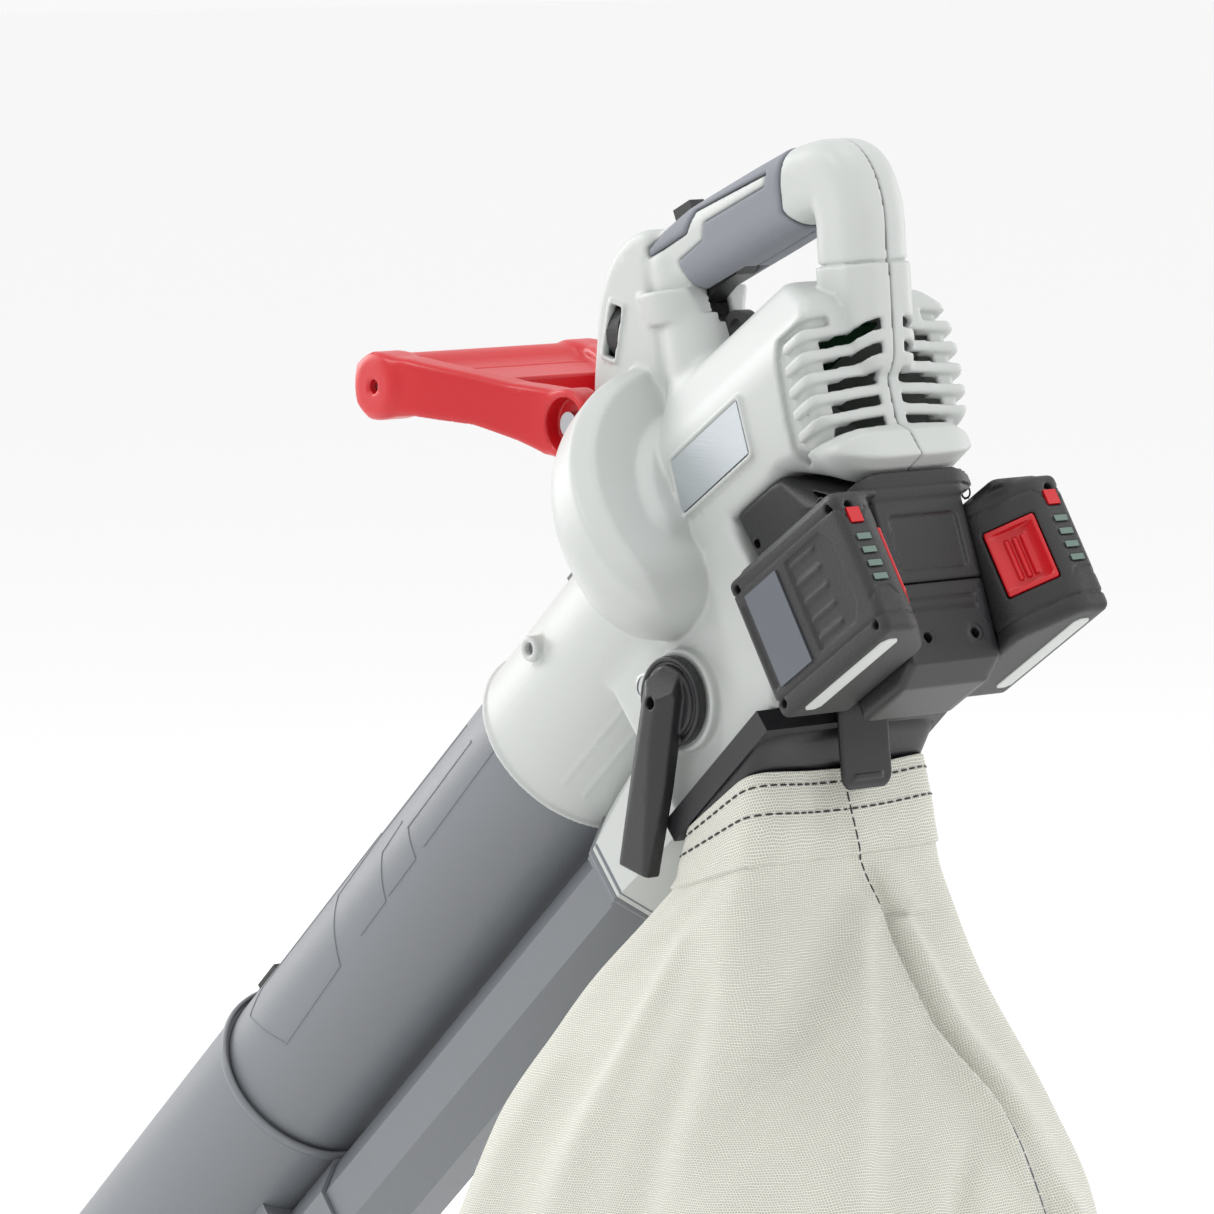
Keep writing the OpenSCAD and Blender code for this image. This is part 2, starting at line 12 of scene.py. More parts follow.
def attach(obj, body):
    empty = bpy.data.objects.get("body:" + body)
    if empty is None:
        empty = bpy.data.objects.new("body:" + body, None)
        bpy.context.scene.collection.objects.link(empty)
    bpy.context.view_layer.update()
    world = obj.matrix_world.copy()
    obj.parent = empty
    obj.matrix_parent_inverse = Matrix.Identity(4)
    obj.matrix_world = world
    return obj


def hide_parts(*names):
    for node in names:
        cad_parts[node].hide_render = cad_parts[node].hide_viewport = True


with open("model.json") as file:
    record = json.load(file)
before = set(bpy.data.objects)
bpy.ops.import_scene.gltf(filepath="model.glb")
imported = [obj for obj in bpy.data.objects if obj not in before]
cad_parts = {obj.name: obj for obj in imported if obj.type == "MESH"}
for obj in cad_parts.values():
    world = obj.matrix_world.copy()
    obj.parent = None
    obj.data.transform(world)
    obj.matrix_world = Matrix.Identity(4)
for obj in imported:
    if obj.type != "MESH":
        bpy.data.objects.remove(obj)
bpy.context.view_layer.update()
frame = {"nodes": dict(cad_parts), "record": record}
NODES = frame["nodes"]

# Shapes below are in millimetres from the fan's centre, X to the rear and Z up. The row frame
# has its origin GRIP_H above that point. "Fan" is the frame along the tubes and "body" the one
# along the motor housing.
GRIP_H = 150.0
TUBE_PITCH = 42.0
BODY_PITCH = 34.0
FLAP = (-34.0, -66.0)
PIVOT = (-92.0, 52.0)
BAR = (-200.0, 66.0)
FAN_FRONT, FAN_REAR = -34.0, 22.0
FAN_CASE_R = 100.5
BORE_R, COLLAR_R = 50.3, 53.7
BLOW_AXIS = -84.0
WALL = 3.2
LOCK_AT, LOCK_TILT = (-37, 141), 24.98
HALF_ROOT2 = 0.7071
# The step at which the housing shells are sampled
FINE = 1.2


# ---------------------------------------------------------------- fields


def turned(x, z, deg):
    c, s = math.cos(math.radians(deg)), math.sin(math.radians(deg))
    return x * c + z * s, z * c - x * s


def level_point(x, z, deg):
    """A point of a turned frame, upright and in millimetres."""
    c, s = math.cos(math.radians(deg)), math.sin(math.radians(deg))
    return x * c - z * s, x * s + z * c


def smax(a, b, k=3.0):
    h = np.maximum(k - np.abs(a - b), 0.0)
    return np.maximum(a, b) + h * h / (4 * k)


def smin(a, b, k=3.0):
    h = np.maximum(k - np.abs(a - b), 0.0)
    return np.minimum(a, b) - h * h / (4 * k)


def segment(x, z, a, b):
    dx, dz = b[0] - a[0], b[1] - a[1]
    t = np.clip(((x - a[0]) * dx + (z - a[1]) * dz) / (dx * dx + dz * dz), 0, 1)
    return np.hypot(x - a[0] - t * dx, z - a[1] - t * dz), t


def chain(x, z, points):
    """Distance to a chain of points."""
    d = None
    for a, b in zip(points, points[1:]):
        e = segment(x, z, a, b)[0]
        d = e if d is None else np.minimum(d, e)
    return d


def polygon(x, z, points):
    """Signed distance to a closed outline."""
    d = None
    inside = np.zeros(np.broadcast(x, z).shape, bool)
    for a, b in zip(points, points[1:] + points[:1]):
        e = segment(x, z, a, b)[0]
        d = e if d is None else np.minimum(d, e)
        if a[1] != b[1]:
            crosses = (a[1] > z) != (b[1] > z)
            at = (b[0] - a[0]) * (z - a[1]) / (b[1] - a[1]) + a[0]
            inside ^= crosses & (x < at)
    return np.where(inside, -d, d)


def slab(v, low, high):
    return np.abs(v - (low + high) / 2) - (high - low) / 2


def block(x, y, z, low, high, r=0.0):
    """A box with rounded edges."""
    sides = [slab(v, a, b) for v, a, b in zip((x, y, z), low, high)]
    q = [np.maximum(side + r, 0) for side in sides]
    out = np.sqrt(q[0] ** 2 + q[1] ** 2 + q[2] ** 2)
    inner = np.maximum(np.maximum(sides[0], sides[1]), sides[2])
    return np.where(inner < -r, inner, out - r)


def ramp(v, a, b):
    t = np.clip((v - a) / (b - a), 0, 1)
    return t * t * (3 - 2 * t)


def spline(a, b, c, d, t):
    """A smooth step from b to c, with a and d on either side."""
    return 0.5 * (2 * b + (c - a) * t + (2 * a - 5 * b + 4 * c - d) * t**2 + (3 * b - a - 3 * c + d) * t**3)


def rounded_path(points, steps=6):
    """A smooth curve through the points."""
    p = np.array(points, float)
    p = np.vstack([2 * p[0] - p[1], p, 2 * p[-1] - p[-2]])
    out = []
    for i in range(1, len(p) - 2):
        for t in np.linspace(0, 1, steps, endpoint=False):
            out.append(spline(*p[i - 1 : i + 3], t))
    out.append(p[-2])
    return [tuple(q) for q in out]


class Grid:
    """A block of space in which a field is sampled. v is the distance out to one side."""

    def __init__(self, low, high, step, side=1):
        self.low, self.step, self.side = np.array(low, float), step, side
        axes = [np.arange(a, b + step, step, dtype=np.float32) for a, b in zip(low, high)]
        self.x, self.v, self.z = axes[0][:, None, None], axes[1][None, :, None], axes[2][None, None, :]
        self.y = self.v * side

    def mesh(self, name, field, adapt=0.0):
        band = 3 * self.step
        shape = (self.x.size, self.v.size, self.z.size)
        d = np.ascontiguousarray(np.clip(np.broadcast_to(field, shape), -band, band), dtype=np.float32)
        d[0], d[-1], d[:, 0], d[:, -1], d[:, :, 0], d[:, :, -1] = (band,) * 6
        grid = vdb.FloatGrid(band)
        grid.copyFromArray(d)
        points, tris, quads = grid.convertToPolygons(0.0, adapt)
        slopes = [g.astype(np.float32) for g in np.gradient(d)]
        normals = np.stack([trilinear(g, points) for g in slopes], 1)
        if self.side < 0:
            normals[:, 1] *= -1
        normals /= np.maximum(np.linalg.norm(normals, axis=1, keepdims=True), 1e-9)
        p = points * self.step + self.low
        p[:, 1] *= self.side
        p[:, 2] -= GRIP_H
        faces = [tuple(f) for f in quads] + [tuple(f) for f in tris]
        if self.side > 0:
            faces = [f[::-1] for f in faces]
        made = bpy.data.meshes.new(name)
        made.from_pydata((p / 1000).tolist(), [], faces)
        made.update()
        facing = np.zeros(len(made.polygons) * 3)
        made.polygons.foreach_get("normal", facing)
        facing = facing.reshape(-1, 3)
        firsts = np.array([f[0] for f in faces])
        if np.sum(np.einsum("ij,ij->i", facing, normals[firsts]) > 0) < len(faces) / 2:
            made.flip_normals()
        made.shade_smooth()
        made.normals_split_custom_set_from_vertices(normals.tolist())
        o = bpy.data.objects.new(name, made)
        bpy.context.scene.collection.objects.link(o)
        return o


def trilinear(a, p):
    i = np.clip(np.floor(p).astype(int), 0, np.array(a.shape) - 2)
    f = p - i
    out = 0
    for c in range(8):
        o = np.array([c & 1, c >> 1 & 1, c >> 2 & 1])
        w = np.prod(np.where(o, f, 1 - f), axis=1)
        j = i + o
        out = out + w * a[j[:, 0], j[:, 1], j[:, 2]]
    return out


# ---------------------------------------------------------------- materials


def add_bump(tree, height, strength, distance):
    bump = tree.nodes.new("ShaderNodeBump")
    bump.inputs["Strength"].default_value = strength
    bump.inputs["Distance"].default_value = distance
    tree.links.new(height, bump.inputs["Height"])
    tree.links.new(bump.outputs["Normal"], tree.nodes["Principled BSDF"].inputs["Normal"])


def material(name, colour, rough, grain=0.0, grain_scale=900.0, metal=0.0, coat=0.0, mottle=0.02, sheen=0.0):
    """A moulded or metal finish with a fine grain, in the row frame's own space."""
    m = bpy.data.materials.new(name)
    m.use_nodes = True
    t = m.node_tree
    shader = t.nodes["Principled BSDF"]
    shader.inputs["Metallic"].default_value = metal
    shader.inputs["Coat Weight"].default_value = coat
    shader.inputs["Coat Roughness"].default_value = 0.25
    shader.inputs["Sheen Weight"].default_value = sheen
    where = t.nodes.new("ShaderNodeTexCoord")
    cloud = t.nodes.new("ShaderNodeTexNoise")
    cloud.inputs["Scale"].default_value = 14.0
    cloud.inputs["Detail"].default_value = 5.0
    t.links.new(where.outputs["Object"], cloud.inputs["Vector"])
    tint = t.nodes.new("ShaderNodeMapRange")
    tint.inputs["To Min"].default_value = 1 - mottle
    tint.inputs["To Max"].default_value = 1 + mottle
    t.links.new(cloud.outputs["Fac"], tint.inputs["Value"])
    mix = t.nodes.new("ShaderNodeVectorMath")
    mix.operation = "SCALE"
    mix.inputs[0].default_value = colour
    t.links.new(tint.outputs["Result"], mix.inputs["Scale"])
    t.links.new(mix.outputs["Vector"], shader.inputs["Base Color"])
    matt = t.nodes.new("ShaderNodeMapRange")
    matt.inputs["To Min"].default_value = rough - 0.05
    matt.inputs["To Max"].default_value = rough + 0.05
    t.links.new(cloud.outputs["Fac"], matt.inputs["Value"])
    t.links.new(matt.outputs["Result"], shader.inputs["Roughness"])
    if grain:
        speck = t.nodes.new("ShaderNodeTexNoise")
        speck.inputs["Scale"].default_value = grain_scale
        speck.inputs["Detail"].default_value = 2.0
        t.links.new(where.outputs["Object"], speck.inputs["Vector"])
        add_bump(t, speck.outputs["Fac"], grain, 0.0006)
    return m


def brushed(name, colour, rough, scale=(20, 20, 1600)):
    """Metal brushed one way."""
    m = material(name, colour, rough, metal=1.0)
    t = m.node_tree
    where = t.nodes.new("ShaderNodeTexCoord")
    stretch = t.nodes.new("ShaderNodeMapping")
    stretch.inputs["Rotation"].default_value = (0, math.radians(BODY_PITCH), 0)
    stretch.inputs["Scale"].default_value = scale
    lines = t.nodes.new("ShaderNodeTexNoise")
    lines.inputs["Scale"].default_value = 1.0
    lines.inputs["Detail"].default_value = 4.0
    t.links.new(where.outputs["Object"], stretch.inputs["Vector"])
    t.links.new(stretch.outputs["Vector"], lines.inputs["Vector"])
    add_bump(t, lines.outputs["Fac"], 0.35, 0.0003)
    return m


MATS = {
    "housing_white": material("housing_white", (0.50, 0.52, 0.505), 0.46, 0.10, coat=0.05),
    "tube_grey": material("tube_grey", (0.165, 0.175, 0.190), 0.45, 0.22, coat=0.05),
    "grip_grey": material("grip_grey", (0.225, 0.235, 0.265), 0.75, 0.45, 1400.0),
    "black_plastic": material("black_plastic", (0.014, 0.014, 0.016), 0.42, 0.25),
    "battery_black": material("battery_black", (0.017, 0.017, 0.018), 0.5, 0.5, 1300.0),
    "red_plastic": material("red_plastic", (0.52, 0.006, 0.011), 0.38, 0.15, coat=0.1),
    "lamp_green": material("lamp_green", (0.13, 0.19, 0.16), 0.25, mottle=0.1),
    "label_grey": material("label_grey", (0.10, 0.11, 0.13), 0.35, mottle=0.1),
    "badge_metal": brushed("badge_metal", (0.62, 0.66, 0.69), 0.33),
    "steel": brushed("steel", (0.60, 0.61, 0.63), 0.30, (300, 300, 300)),
    "zinc_screw": brushed("zinc_screw", (0.45, 0.46, 0.48), 0.35, (300, 300, 300)),
    "fan_plastic": material("fan_plastic", (0.03, 0.03, 0.035), 0.5, 0.3),
    "tyre_black": material("tyre_black", (0.018, 0.018, 0.02), 0.8, 0.5),
    "board_green": material("board_green", (0.01, 0.09, 0.03), 0.4, 0.1),
    "contact_brass": brushed("contact_brass", (0.75, 0.52, 0.2), 0.3, (300, 300, 300)),
}


def finish_of(node):
    entry = next(s for s in frame["record"]["subparts"] if s["node"] == node)
    return entry["material_slot"]


def dress(o, slot_name, body, *nodes):
    """Gives a new piece its finish, its body and the CAD nodes that it stands for."""
    o.data.materials.clear()
    o.data.materials.append(MATS[slot_name])
    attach(o, body)
    if nodes:
        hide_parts(*nodes)
    return o


# ---------------------------------------------------------------- housing

HANDLE_PATH = rounded_path([
    (94, 100), (92, 122), (89.5, 146), (87, 166), (78, 179.5), (63, 178), (50, 172.5), (6, 153.5),
    (-22, 141), (-38, 133),
])
TRUNK_TOP = rounded_path([
    (-89, 88), (-87, 108), (-83, 122), (-75, 136), (-63, 146), (-51, 150), (-44, 147), (-42.5, 134),
    (-43, 119), (-37, 107),
])
TRUNK = [(-95, 36)] + TRUNK_TOP + [(-30, 60), (-40, 10)]
CHANNEL_PAD = [
    (-47, 141), (-46, 137), (-19, 150), (-14, 161), (40, 181.5), (40, 175), (-5, 155.5), (-6, 147),
    (-24, 136), (-19, 129), (-12, 112), (66, 132), (60, 156), (52, 163), (50, 176), (51, 212),
    (-14, 212), (-24, 161),
]
MOTOR_SIDE = [
    (16, -60), (16, 100), (112, 100), (127, 72), (146, 53), (148.5, 45), (133, -10), (139, -17),
    (140.5, -31), (118, -33), (94, -12), (52, -12), (44, -60),
]
DUCT_SIDE = [(-80, -20), (-80, -106), (14, -106), (46, -70), (46, -20)]
BATTERY_TRAY = [(51, -60), (51, -12.6), (91, -12.6), (115.5, -33.4), (150, -33.4), (150, -60)]
COLLAR_SCREW = (-109, 20)
COLLAR_RIBS = (-0.72, -0.95)
CASE_SCREWS = ((66, 60), (104, 34), (60, 4))
DIAL_WINDOW = [(-79.5, 86.5), (-69.5, 84.5), (-63.5, 111.5), (-73.5, 113.5)]
PLATE = [(26, 5), (84, 5), (90, 30), (32, 30)]
VENT_TOP, VENT_PITCH, VENT_DROOP, VENT_COUNT = 32.0, 10.0, 4.0, 5


def handle_field(x, v, z):
    """The loop from the rear post round to the front one."""
    u = chain(x, z, HANDLE_PATH)
    big = 0.6 * ramp(-x, -70, -20)
    d = smax(smax(u - 18.4 - big, v - 18.2 - big, 5), (u + v) * HALF_ROOT2 - 21.6 - big, 5)
    # The post's lower end is a separate, slightly wider step
    seam = z - 140 - 0.12 * (x - 90)
    low = smax(smax(u - 19.5, v - 19.3, 6), (u + v) * HALF_ROOT2 - 22.4, 3)
    low = np.maximum(np.maximum(low, seam + 0.6), 60 - x)
    groove = np.maximum(np.abs(seam) - 0.9, 50 - x)
    d = smax(d, -np.maximum(groove, -(d + 1.6)), 0.4)
    return smin(d, low, 0.5)


def front_post(x, v, z):
    u, t = segment(x, z, (-38, 133), (-14, 66))
    return smax(np.hypot(u, v) - 20.6 - 5.0 * t * t, z - 140, 4)


def ring_lip(x, v, z):
    """The flared lip that the grip's front end stands in."""
    s, c = math.sin(math.radians(9)), math.cos(math.radians(9))
    a = (x + 35) * c + (z - 114) * s
    h = (z - 114) * c - (x + 35) * s
    r = np.hypot(a, v)
    lip = smax(r - 27.2 + 0.2 * (7 - h), slab(h, -10, 7), 2.4)
    inner = smax(r - 23.4, -(h - 3.2), 0.8)
    return smax(lip, -inner, 1.2)


def vent_z(v, bz):
    """Height along the cooling slots, which droop a little to the sides."""
    return bz + math.tan(math.radians(VENT_DROOP)) * (v - 6.5)


def motor_case(x, v, z):
    bx, bz = turned(x, z, BODY_PITCH)
    section = smax(v - 50, 0.8124 * (v - 50) + 0.5833 * (bz - 38), 7)
    section = smax(section, bz - 77, 9)
    section = smax(section, 0.978 * (v - 50) - 0.2095 * (bz + 6), 6)
    k = 5 + 21 * ramp(bx, 80, 110) * ramp(-bz, 2, 16)
    cased = smax(section, polygon(bx, bz, MOTOR_SIDE), k)
    # Corners recessed round the cooling slots, with ribs standing in the recess
    corner = np.maximum(np.maximum(29 - v, slab(vent_z(v, bz), -13.5, 44)), 112 + 0.35 * bz - bx)
    d = smax(cased, -smax(corner, -(cased + 4.0), 0.4), 0.8)
    for i in range(VENT_COUNT + 1):
        middle = VENT_TOP + VENT_PITCH / 2 - VENT_PITCH * i
        rib = smax(cased + 0.2, np.abs(vent_z(v, bz) - middle) - 2.5, 1.6)
        rib = smax(rib, np.maximum(24 - v, 118 + 0.35 * bz - bx), 0.6)
        d = smin(d, rib, 0.4)
    return d


def volute(x, v, z):
    fx, fz = turned(x, z, TUBE_PITCH)
    rho = np.sqrt(fz * fz + v * v)
    d = smax(rho - FAN_CASE_R, (rho - 92 + fx - FAN_REAR) * HALF_ROOT2, 1.4)
    d = smax(d, fx - FAN_REAR, 1.4)
    d = smax(d, (12 * (rho - 99) - 17 * (fx + 14)) / 20.8, 12)
    d = smax(d, FAN_FRONT - fx, 6)
    return smax(d, -42 - fz, 26)


def lock_frame(x, z):
    """The frame of the lock button, square to the grip."""
    return turned(x - LOCK_AT[0], z - LOCK_AT[1], LOCK_TILT)


def housing_field(g):
    x, v, z = g.x, g.v, g.z
    fx, fz = turned(x, z, TUBE_PITCH)
    bx, bz = turned(x, z, BODY_PITCH)
    rho = np.sqrt(fz * fz + v * v)
    left = g.side < 0

    duct = smax(polygon(fx, fz, DUCT_SIDE), v - 48, 4)
    fan_case = smin(volute(x, v, z), duct, 1.5)
    d = smin(fan_case, motor_case(x, v, z), 2.0)
    # A round shoulder behind the fan's casing carries the motor housing
    shoulder = smax(smax(rho - 82, (rho - 68 + fx - FAN_REAR) * HALF_ROOT2, 1.5), 10 - fx, 1)
    shoulder = smax(smax(shoulder, fx - FAN_REAR - 5, 2), -14 - fz, 20)
    d = smin(d, shoulder, 1.5)
    trunk = smax(polygon(x, z, TRUNK), v - 20.5, 7)
    trunk = smax(trunk, 0.6 * (v - 20.5) - 0.8 * (x + 91) - 0.08 * (z - 80), 4)
    loop = handle_field(x, v, z)
    d = smin(d, front_post(x, v, z), 5)
    d = smin(d, trunk, 2.0)
    d = smin(d, smin(loop, ring_lip(x, v, z), 1.2), 1.5)
    collar = smax(smax(rho - COLLAR_R, -(fx + 168), 1.5), fx + 28, 1)
    lip = np.hypot(rho - 54.0, fx + 166.6) - 1.5
    collar = smin(collar, lip, 1.0)
    for at in COLLAR_RIBS:
        rib = np.maximum(np.abs(np.arctan2(fz, v) - at) * 54 - 0.8, slab(fx, -150, -60))
        collar = smin(collar, smax(rib, rho - 54.2, 0.6), 0.8)
    rail = smax(smax(rho - 56.5, slab(v, 9.5, 12), 1), slab(fx, -160, -70), 1)
    collar = smin(collar, rail, 0.8)
    d = smin(d, collar, 2.5)

    ring = np.hypot(fx - FLAP[0], fz - FLAP[1])
    boss = smax(smax(ring - 25, v - 54, 1.6), 30 - v, 1)
    boss = smax(boss, -smax(ring - 22.6, 53.2 - v, 0.6), 0.8)
    d = smin(d, boss, 1.5)
    screw = np.hypot(fx - COLLAR_SCREW[0], fz - COLLAR_SCREW[1])
    d = smin(d, smax(smax(screw - 6.5, v - 57, 1.2), 30 - v, 1), 2.0)
    pivot = np.hypot(x - PIVOT[0], z - PIVOT[1])
    d = smin(d, smax(pivot - 13, v - 16, 2), 2.0)

    if left:
        frame_ring = np.abs(polygon(bx, bz, PLATE) - 1.8) - 1.1
        d = smin(d, smax(smax(frame_ring, v - 51.9, 1), 46 - v, 1), 1.2)
        window = polygon(x, z, DIAL_WINDOW)
        d = smin(d, smax(smax(np.abs(window - 0.2) - 1.2, v - 22.3, 0.8), 14 - v, 1), 0.7)
    # The recess that the soft grip lies in
    pad = polygon(x, z, CHANNEL_PAD) - 0.7
    d = smax(d, -smax(pad, -(loop + 2.4), 0.8), 0.8)

    hollow = d + WALL
    hollow = np.where(loop < d + 3, np.maximum(hollow, loop + 3.0), hollow)
    d = smax(d, -hollow, 0.5)
    d = np.maximum(d, -np.maximum(rho - BORE_R, fx + 26))
    mouth = np.maximum(np.maximum(slab(fx, -70, 6), v - 44), slab(fz, -120, -94))
    d = np.maximum(d, -mouth)
    duct_r = np.hypot(fz - BLOW_AXIS, v)
    d = np.maximum(d, -np.maximum(duct_r - 31, slab(fx, -90, -70)))
    for i in range(VENT_COUNT):
        slot = np.maximum(np.abs(vent_z(v, bz) - VENT_TOP + VENT_PITCH * i) - 2.5, slab(v, 6.5, 34.5))
        d = smax(d, -np.maximum(slot, 100 - bx), 0.3)
    if left:
        d = np.maximum(d, -np.maximum(np.maximum(polygon(x, z, DIAL_WINDOW) + 0.6, 8 - v), v - 40))
    d = smax(d, -np.maximum(screw - 3.2, 30 - v), 0.6)
    if not left:
        for px, pz in CASE_SCREWS:
            floor_v = 31 if pz > 50 else 47
            d = smax(d, -np.maximum(np.hypot(bx - px, bz - pz) - 3.8, floor_v - v), 0.5)
    d = np.maximum(d, -np.maximum(pivot - 4.1, v - 60))
    d = np.maximum(d, -np.maximum(polygon(bx, bz, BATTERY_TRAY), v - 46))
    trigger_slot = np.maximum(block(x, v, z, (-32, -1, 107), (12, 6.5, 147), 0), loop - 30)
    d = np.maximum(d, -trigger_slot)
    lx, lz = lock_frame(x, z)
    d = np.maximum(d, -block(lx, v, lz, (-0.6, -1, 0), (14.6, 5, 30), 0))
    # Rounded edges along the middle make the parting line between the two halves
    return smax(d, 0.12 - v, 1.3)


def build_housing():
    for side, name in ((-1, "housing_left"), (1, "housing_right")):
        g = Grid((-173, -1.5, -190), (158, 103.5, 205), FINE, side)
        o = g.mesh(name + "_shell", housing_field(g), 0.02)
        dress(o, "housing_white", "machine", name)


def build_grips():
    for side, name in ((-1, "grip_left"), (1, "grip_right")):
        g = Grid((-54, -1.5, 104), (70, 24, 206), 0.8, side)
        loop = handle_field(g.x, g.v, g.z)
        pad = polygon(g.x, g.z, CHANNEL_PAD)
        d = smax(smax(loop - 1.0, pad, 2.2), -(loop + 2.2), 0.6)
        trigger_slot = block(g.x, g.v, g.z, (-33, -1, 100), (13, 7.2, 147), 0)
        d = np.maximum(d, -trigger_slot)
        lx, lz = lock_frame(g.x, g.z)
        d = np.maximum(d, -block(lx, g.v, lz, (-1.2, -1, 0), (15.2, 5.6, 40), 0))
        o = g.mesh(name + "_pad", smax(d, 0.1 - g.v, 0.8), 0.01)
        dress(o, "grip_grey", "machine", name)


# ---------------------------------------------------------------- red handle


ARM_SIDE = [
    (-217, 77), (-204, 82.5), (-180, 81), (-152, 76), (-128, 71), (-104, 69), (-92, 69), (-80, 62),
    (-76, 52), (-80, 42), (-92, 35), (-108, 36), (-124, 42), (-146, 49), (-176, 52), (-205, 49.5),
    (-216, 56),
]
ARM_WEB = [(-205, 56), (-205, 78), (-150, 71), (-150, 60)]
# Distance of an arm from the middle, at the bar and at the pivot
ARM_AT_BAR, ARM_AT_PIVOT = 62, 27


def build_front_handle():
    g = Grid((-224, -76, 28), (-70, 76, 92), 1.0)
    x, z = g.x, g.z
    v = np.abs(g.y)
    bar_r = np.hypot(x - BAR[0], z - BAR[1])
    bar = smax(bar_r - 16, v - 72, 5)
    lean = ARM_AT_BAR - (ARM_AT_BAR - ARM_AT_PIVOT) * ramp(x, -196, -98)
    arm = smax(polygon(x, z, ARM_SIDE), np.abs(v - lean) * 0.93 - 8.5, 4)
    lug_r = np.hypot(x - PIVOT[0], z - PIVOT[1])
    lug = smax(lug_r - 17.5, slab(v, 19.5, 34.5), 2.5)
    web = smax(smax(polygon(x, z, ARM_WEB), v - lean, 2), -(x + 215), 2)
    d = smin(smin(bar, arm, 5), lug, 3)
    d = smin(d, web, 3)
    rim = smax(np.abs(lug_r - 15.7) - 1.8, slab(v, 30, 35.6), 1)
    d = smin(d, rim, 1)
    d = smax(d, -smax(lug_r - 13.8, 28 - v, 1), 1)
    d = np.maximum(d, -(lug_r - 4.2))
    d = np.maximum(d, -np.maximum(v - 19.3, -(x + 118)))
    d = smax(d, -smax(bar_r - 3.4, 66 - v, 0.5), 1)
    groove = np.maximum(np.maximum(np.abs(x + 176) - 0.7, v - 48), 60 - z)
    d = smax(d, -np.maximum(groove, -(d + 1.2)), 0.4)
    o = g.mesh("front_handle_moulding", d, 0.02)
    dress(o, "red_plastic", "front_handle", "front_handle")
    for side in (-1, 1):
        screw = disc("bar_end_screw_%s" % ("left" if side < 0 else "right"), 3.1, 1.4)
        screw.matrix_world = place(BAR[0], side * 67.6, BAR[1]) @ Matrix.Rotation(math.pi / 2, 4, "X")
        dress(screw, "zinc_screw", "front_handle")


# ---------------------------------------------------------------- small solid helpers


def place(x, y, z):
    return Matrix.Translation(Vector((x, y, z - GRIP_H)) / 1000)


def new_object(name, points, faces, smooth=False):
    made = bpy.data.meshes.new(name)
    made.from_pydata([tuple(p) for p in points], [], [tuple(f) for f in faces])
    made.update()
    if smooth:
        made.shade_smooth()
    o = bpy.data.objects.new(name, made)
    bpy.context.scene.collection.objects.link(o)
    return o


def disc(name, r, h, sides=24):
    """A short round bar about its own Z, in millimetres."""
    a = np.linspace(0, 2 * math.pi, sides, endpoint=False)
    points = [(r / 1000 * math.cos(t), r / 1000 * math.sin(t), s * h / 2000) for s in (-1, 1) for t in a]
    faces = [(i, (i + 1) % sides, (i + 1) % sides + sides, i + sides) for i in range(sides)]
    faces += [tuple(range(sides))[::-1], tuple(range(sides, 2 * sides))]
    o = new_object(name, points, faces)
    soften(o, 0.25)
    return o


def soften(o, width):
    m = o.modifiers.new("edges", "BEVEL")
    m.width = width / 1000
    m.segments = 2
    m.limit_method = "ANGLE"
    m.angle_limit = math.radians(25)
    m.harden_normals = True
    m.use_clamp_overlap = True
    return o


# ---------------------------------------------------------------- lever


LEVER_SIDE = [
    (-6, 17), (6, 17), (11.5, 6), (12.5, -40), (11, -86), (-11, -86), (-12.5, -40), (-11.5, 6),
]
LEVER_LEAN, LEVER_TOP = -12, 72


def build_lever():
    cx, cz = level_point(*FLAP, TUBE_PITCH)
    g = Grid((cx - 44, 52, cz - 94), (cx + 30, 78, cz + 30), 0.7, -1)
    px, pz = turned(g.x - cx, g.z - cz, LEVER_LEAN)
    v = g.v
    ring = np.hypot(px, pz)
    hub = smax(smax(ring - 22, slab(v, 54.3, 60), 1.2), -smax(ring - 19.4, 58.8 - v, 0.6), 0.6)
    inner = smax(ring - 17.6, slab(v, 54.6, 61.2), 1.5)
    arm = polygon(px, pz, LEVER_SIDE)
    wide = np.abs(px)
    top = v - LEVER_TOP + 0.05 * np.maximum(-20 - pz, 0)
    face = (wide * 0.55 + v * 0.835) - (4.2 * 0.55 + LEVER_TOP * 0.835)
    arch = (pz * 0.62 + v * 0.785) - (3 * 0.62 + LEVER_TOP * 0.785)
    toe = (-(pz + 86) * 0.5 + v * 0.866) - 69 * 0.866
    d = smax(arm, 59.6 - v, 0.8)
    for plane in (top, face, arch, toe):
        d = smax(d, plane, 0.9)
    d = smin(smin(hub, inner, 0.8), d, 1.0)
    d = np.maximum(d, 3.0 - ring)
    cap = smax(ring - 5, slab(v, 58, 64), 0.5)
    o = g.mesh("mode_lever_arm", smin(d, cap, 0.5), 0.01)
    dress(o, "black_plastic", "mode_flap", "mode_lever")
    bends = [(-17, -57, 12), (-24, -58.5, 9), (-25, -59, 2), (-19, -58.5, -3)]
    wire_loop("lever_spring_end", [(cx + x, y, cz + z) for x, y, z in bends], 0.8)


